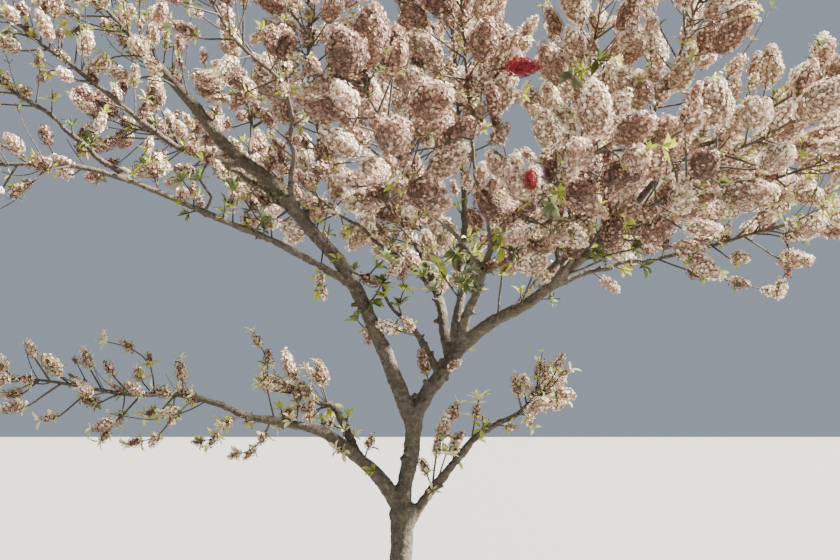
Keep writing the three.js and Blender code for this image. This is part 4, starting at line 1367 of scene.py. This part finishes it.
for number, tuft in enumerate(tufts):
    random = np.random.default_rng(SEEDS["builds"] + number)
    size = THIN_SIZE if tuft["middle"][0] < THIN_SIDE else 1
    tuft["radius"] = tuft["radius"] * random.uniform(SLIMMEST, 1) * size
    tuft["half"] = tuft["half"] * random.uniform(1, LONGEST) * size
ovals = {key: np.array([tuft[key] for tuft in tufts]) for key in ("middle", "axis", "radius", "half")}
print("slimmest tuft", round(min(ovals["radius"]), 3), "widest", round(max(ovals["radius"]), 3))

# %% Choose the colours of a tuft
KINDS = list(PETALS)
# The share of each petal colour in a family, in the order of PETALS.
FAMILIES = {
    "ivory": (0.74, 0.22, 0.04, 0, 0, 0, 0),
    "shell": (0.24, 0.58, 0.16, 0.02, 0, 0, 0),
    "rose": (0.02, 0.36, 0.48, 0.12, 0.02, 0, 0),
    "dusk": (0, 0.10, 0.38, 0.40, 0.12, 0, 0),
    "crimson": (0, 0, 0, 0, 0, 1, 0),
    # The cream family, mostly on low tufts, also takes rose and dusk flowers: partly painted shade under the
    # crown.
    "cream": (0.03, 0.14, 0.22, 0.13, 0, 0, 0.48),
    "honey": (0.30, 0.20, 0.14, 0.02, 0, 0, 0.34),
}
HEART_OF = {"ivory": "ivory", "shell": "ivory", "rose": "rose", "dusk": "dusk", "crimson": "crimson",
            "cream": "rose", "honey": "ivory"}
# Families whose flowers get no painted light or shade by the way they face.
NO_PAINTED_LIGHT_FAMILIES = ("crimson", "cream", "honey")
# How far down or up a flower faces before it may get painted shade or painted light, a kind darker or paler,
# and the share that do.
PAINTED_SHADE_FACING, PAINTED_SHADE_SHARE = -0.2, 0.7
PAINTED_LIGHT_FACING, PAINTED_LIGHT_SHARE = 0.3, 0.5
LOW_CREAM = 0.75
HONEY_SHARE = 0.3
SHELL_SHARE = 0.55


def is_low(thing):
    return thing["owner"].startswith("low")


def family_of(tuft, random):
    """Painted light and shade: paler at the top and the sunlit right, duskier on the shaded left and low in
    the middle.
    """
    x, _, z = tuft["middle"]
    if is_low(tuft):
        return "cream" if random.random() < LOW_CREAM else "shell"
    # Painted shade: the dusk share grows on the left, low down and in the middle. Painted light: the ivory
    # share grows at the top and on the right.
    dusk = 0.14 + 0.12 * math.exp(-((x - 0.7) / 1.2) ** 2) - 0.07 * (z - 3) - 0.085 * x
    ivory = 0.32 + 0.09 * x + 0.08 * (z - 3)
    draw = random.random()
    if draw < dusk:
        return "dusk"
    if draw < dusk + ivory:
        return "honey" if random.random() < HONEY_SHARE else "ivory"
    return "shell" if random.random() < SHELL_SHARE else "rose"


def kinds_of(family, outward, random):
    """A colour for each flower by the way it faces: painted shade on low ones, painted light on high ones."""
    chances = np.cumsum(FAMILIES[family])
    kinds = np.searchsorted(chances / chances[-1], random.uniform(0, 1, len(outward)))
    if family in NO_PAINTED_LIGHT_FAMILIES:
        return kinds
    # Painted shade: some flowers that face down take a darker kind. Painted light: some that face up take a
    # paler one.
    low = (outward[:, 2] < PAINTED_SHADE_FACING) & (random.uniform(0, 1, len(outward)) < PAINTED_SHADE_SHARE)
    high = (outward[:, 2] > PAINTED_LIGHT_FACING) & (random.uniform(0, 1, len(outward)) < PAINTED_LIGHT_SHARE)
    return np.clip(kinds + low - high, 0, KINDS.index("umber"))


print(len(FAMILIES), "families of colours")

# %% Cover the tufts with flowers
FLOWER_RADIUS = 0.0096
COVER = 0.6
CRIMSON_COVER = 1.3
LARGE_HEART = 0.065
HEART_SHARE = 0.95
SHELL = 0.94
BURIED = 0.75
AREA_POWER = 1.6075
flowers = {kind: [[], []] for kind in KINDS}
hearts = {(kind, large): [[], []] for kind in HEARTS for large in (True, False)}


def oval_area(radius, half):
    """The surface of an oval, by Thomsen's formula."""
    parts = (radius * radius) ** AREA_POWER + 2 * (radius * half) ** AREA_POWER
    return 4 * math.pi * (parts / 3) ** (1 / AREA_POWER)


def buried(spots, number):
    """Which of a tuft's flowers lie deep inside another tuft."""
    apart = np.linalg.norm(ovals["middle"] - ovals["middle"][number], axis=1)
    inside = np.zeros(len(spots), bool)
    for other in np.flatnonzero(apart < ovals["half"] + ovals["half"][number]):
        offset = spots - ovals["middle"][other]
        along = offset @ ovals["axis"][other]
        across = np.sqrt(np.maximum(np.sum(offset * offset, axis=1) - along * along, 0))
        depth = np.hypot(along / ovals["half"][other], across / ovals["radius"][other])
        inside |= (depth < BURIED) & (other != number)
    return inside


def cover_tuft(number, tuft, family, random):
    """Sets a heart, and flowers on a spiral round it, each in one of the family's colours."""
    side = frames_along(tuft["axis"][None], np.array([random.uniform(0, FULL_TURN)]))[0]
    size = np.array([tuft["radius"], tuft["radius"], tuft["half"]]) * SHELL
    heart = hearts[HEART_OF[family], bool(tuft["radius"] > LARGE_HEART)]
    heart[0].append(tuft["middle"])
    heart[1].append(side * (size * HEART_SHARE)[:, None])
    cover = CRIMSON_COVER if family == "crimson" else COVER
    count = int(cover * oval_area(size[0], size[2]) / (math.pi * FLOWER_RADIUS ** 2))
    z = 1 - 2 * (np.arange(count) + 0.5) / count
    turn = np.arange(count) * GOLDEN_ANGLE + random.uniform(-0.25, 0.25, count)
    ring = np.sqrt(1 - z * z)
    ball = np.stack([ring * np.cos(turn), ring * np.sin(turn), z], axis=1)
    waves = random.uniform(0, FULL_TURN, 4)
    lumps = 1 + 0.11 * np.sin(3 * turn + waves[0]) * np.sin(4 * z + waves[1])
    lumps += 0.06 * np.sin(5 * turn + 3 * z + waves[2]) + random.uniform(-0.08, 0.08, count)
    taper = 1 - (1 - TIP_WIDTH) * np.clip((z + 0.2) / 0.8, 0, 1)
    spots = ball * size * lumps[:, None]
    spots[:, :2] *= taper[:, None]
    spots = spots @ side + tuft["middle"]
    outward = (ball / size) @ side
    outward /= np.linalg.norm(outward, axis=1)[:, None]
    frames = frames_along(outward + random.normal(0, 0.32, (count, 3)), random.uniform(0, FULL_TURN, count))
    frames *= (FLOWER_RADIUS * random.uniform(0.75, 1.2, count))[:, None, None]
    kinds = kinds_of(family, outward, random)
    seen = ~buried(spots, number)
    for index, kind in enumerate(KINDS):
        chosen = seen & (kinds == index)
        flowers[kind][0].append(spots[chosen])
        flowers[kind][1].append(frames[chosen])


for number, tuft in enumerate(tufts):
    random = np.random.default_rng(SEEDS["flowers"] + number)
    cover_tuft(number, tuft, tuft.get("family") or family_of(tuft, random), random)
for kind, (spots, frames) in flowers.items():
    joined_copies("blossom_" + kind, flower_shape, np.vstack(spots), np.vstack(frames), petal_materials[kind])
for (kind, large), (spots, frames) in hearts.items():
    size, shape = ("large", heart_shape) if large else ("small", small_heart_shape)
    if spots:
        joined_copies(f"heart_{kind}_{size}", shape, np.array(spots), np.array(frames), heart_materials[kind])

# %% [markdown]
# ## Leaves
#
# Apple leaves open with the blossom: a rosette of a few small leaves at the neck of a tuft, and some
# on leafy spurs of their own. Young ones are yellow-green, and those deeper in are darker.

# %% Deal out the leaves
LEAF_LENGTH = 0.072
# The shares of tufts with leaves at their neck and at their tip, low in the tree and elsewhere.
LOW_LEAVES = (0.9, 0.5)
OTHER_LEAVES = (0.55, 0.22)
PALE_SHARE = 0.6
SPRING_SHARE = 0.6
leaves = {kind: [[], []] for kind in LEAVES}


def add_rosette(thing, spot, kind, count, random, spread, size=1.0):
    """A ring of leaves that point outward and forward, round the axis of what bears them."""
    axis = thing["axis"]
    turns = np.arange(count) * GOLDEN_ANGLE + random.uniform(0, FULL_TURN)
    side = frames_along(axis[None], np.zeros(1))[0]
    for turn in turns:
        out = side[0] * math.cos(turn) + side[1] * math.sin(turn)
        pointing = unit(axis * random.uniform(0.25, 1.0) + out * spread + random.normal(0, 0.2, 3))
        top = unit(np.cross(pointing, np.cross(axis * 0.6 + UP * 0.4, pointing)))
        length = LEAF_LENGTH * size * random.uniform(0.65, 1.2)
        leaves[kind][0].append(spot + out * 0.006)
        leaves[kind][1].append(np.stack([np.cross(pointing, top), pointing, top]) * length)


for number, tuft in enumerate(tufts):
    random = np.random.default_rng(SEEDS["leaves"] + number)
    low, reach = is_low(tuft), tuft["axis"] * tuft["half"]
    at_neck, at_tip = LOW_LEAVES if low else OTHER_LEAVES
    if random.random() < at_neck:
        kind = "pale" if low and random.random() < PALE_SHARE else None
        kind = kind or ("spring" if random.random() < SPRING_SHARE else "green")
        neck = tuft["middle"] - reach * random.uniform(0.6, 0.95)
        add_rosette(tuft, neck, kind, random.integers(3, 7), random, spread=1.3)
    if random.random() < at_tip:
        tip = tuft["middle"] + reach * 0.8
        add_rosette(tuft, tip, "pale" if low else "spring", random.integers(3, 6), random, 0.8, size=0.9)
for number, twig in enumerate(leaf_twigs):
    random = np.random.default_rng(SEEDS["twig_leaves"] + number)
    kind = {"low": "pale", "lef": "green"}.get(twig["owner"][:3], ("green", "spring", "sage")[number % 3])
    count, size = (5, 0.65) if twig["small"] else (9, 1.3)
    add_rosette(twig, twig["spot"], kind, count, random, 0.75, size)
for number, spur in enumerate(leaf_spurs):
    random = np.random.default_rng(SEEDS["spur_leaves"] + number)
    kind = (("pale", "spring") if is_low(spur) else ("spring", "green"))[number % 2]
    count, size = (3, 0.6) if spur.get("small") else (6, 1)
    add_rosette(spur, spur["spot"], kind, count, random, 0.8, size)
for kind, (spots, frames) in leaves.items():
    joined_copies("leaves_" + kind, leaf_shape, np.array(spots), np.array(frames), leaf_materials[kind])

# %% [markdown]
# ## Floor and light
#
# A pale floor and an even, slightly cool surround keep the warm blossom readable against it. One
# soft sun from high on the right models the tufts, as spring light does.

# %% Floor, surround and light
FLOOR_SIZE = 80
FLOOR_PAINT = (0.25, 0.255, 0.25)
TOWARDS_SUN = Vector((0.8, 0.1, 0.62))

start_clean()
bpy.ops.mesh.primitive_plane_add(size=FLOOR_SIZE, location=(0, 0, 0))
floor = bpy.context.object
floor.name = "floor"
floor.data.materials.append(new_material("floor_paint", FLOOR_PAINT, roughness=0.9)[0])

world = bpy.context.scene.world or bpy.data.worlds.new("surround")
bpy.context.scene.world = world
world.use_nodes = True
surround = world.node_tree.nodes["Background"]
surround.inputs["Color"].default_value = (0.60, 0.68, 0.80, 1)
surround.inputs["Strength"].default_value = 0.5

bpy.ops.object.light_add(type="SUN", location=(4, -3, 6))
sun = bpy.context.object
sun.rotation_euler = TOWARDS_SUN.to_track_quat("Z", "Y").to_euler()
sun.data.energy = 45
sun.data.angle = math.radians(5)
sun.data.color = (1.0, 0.93, 0.82)
print("lights ready")
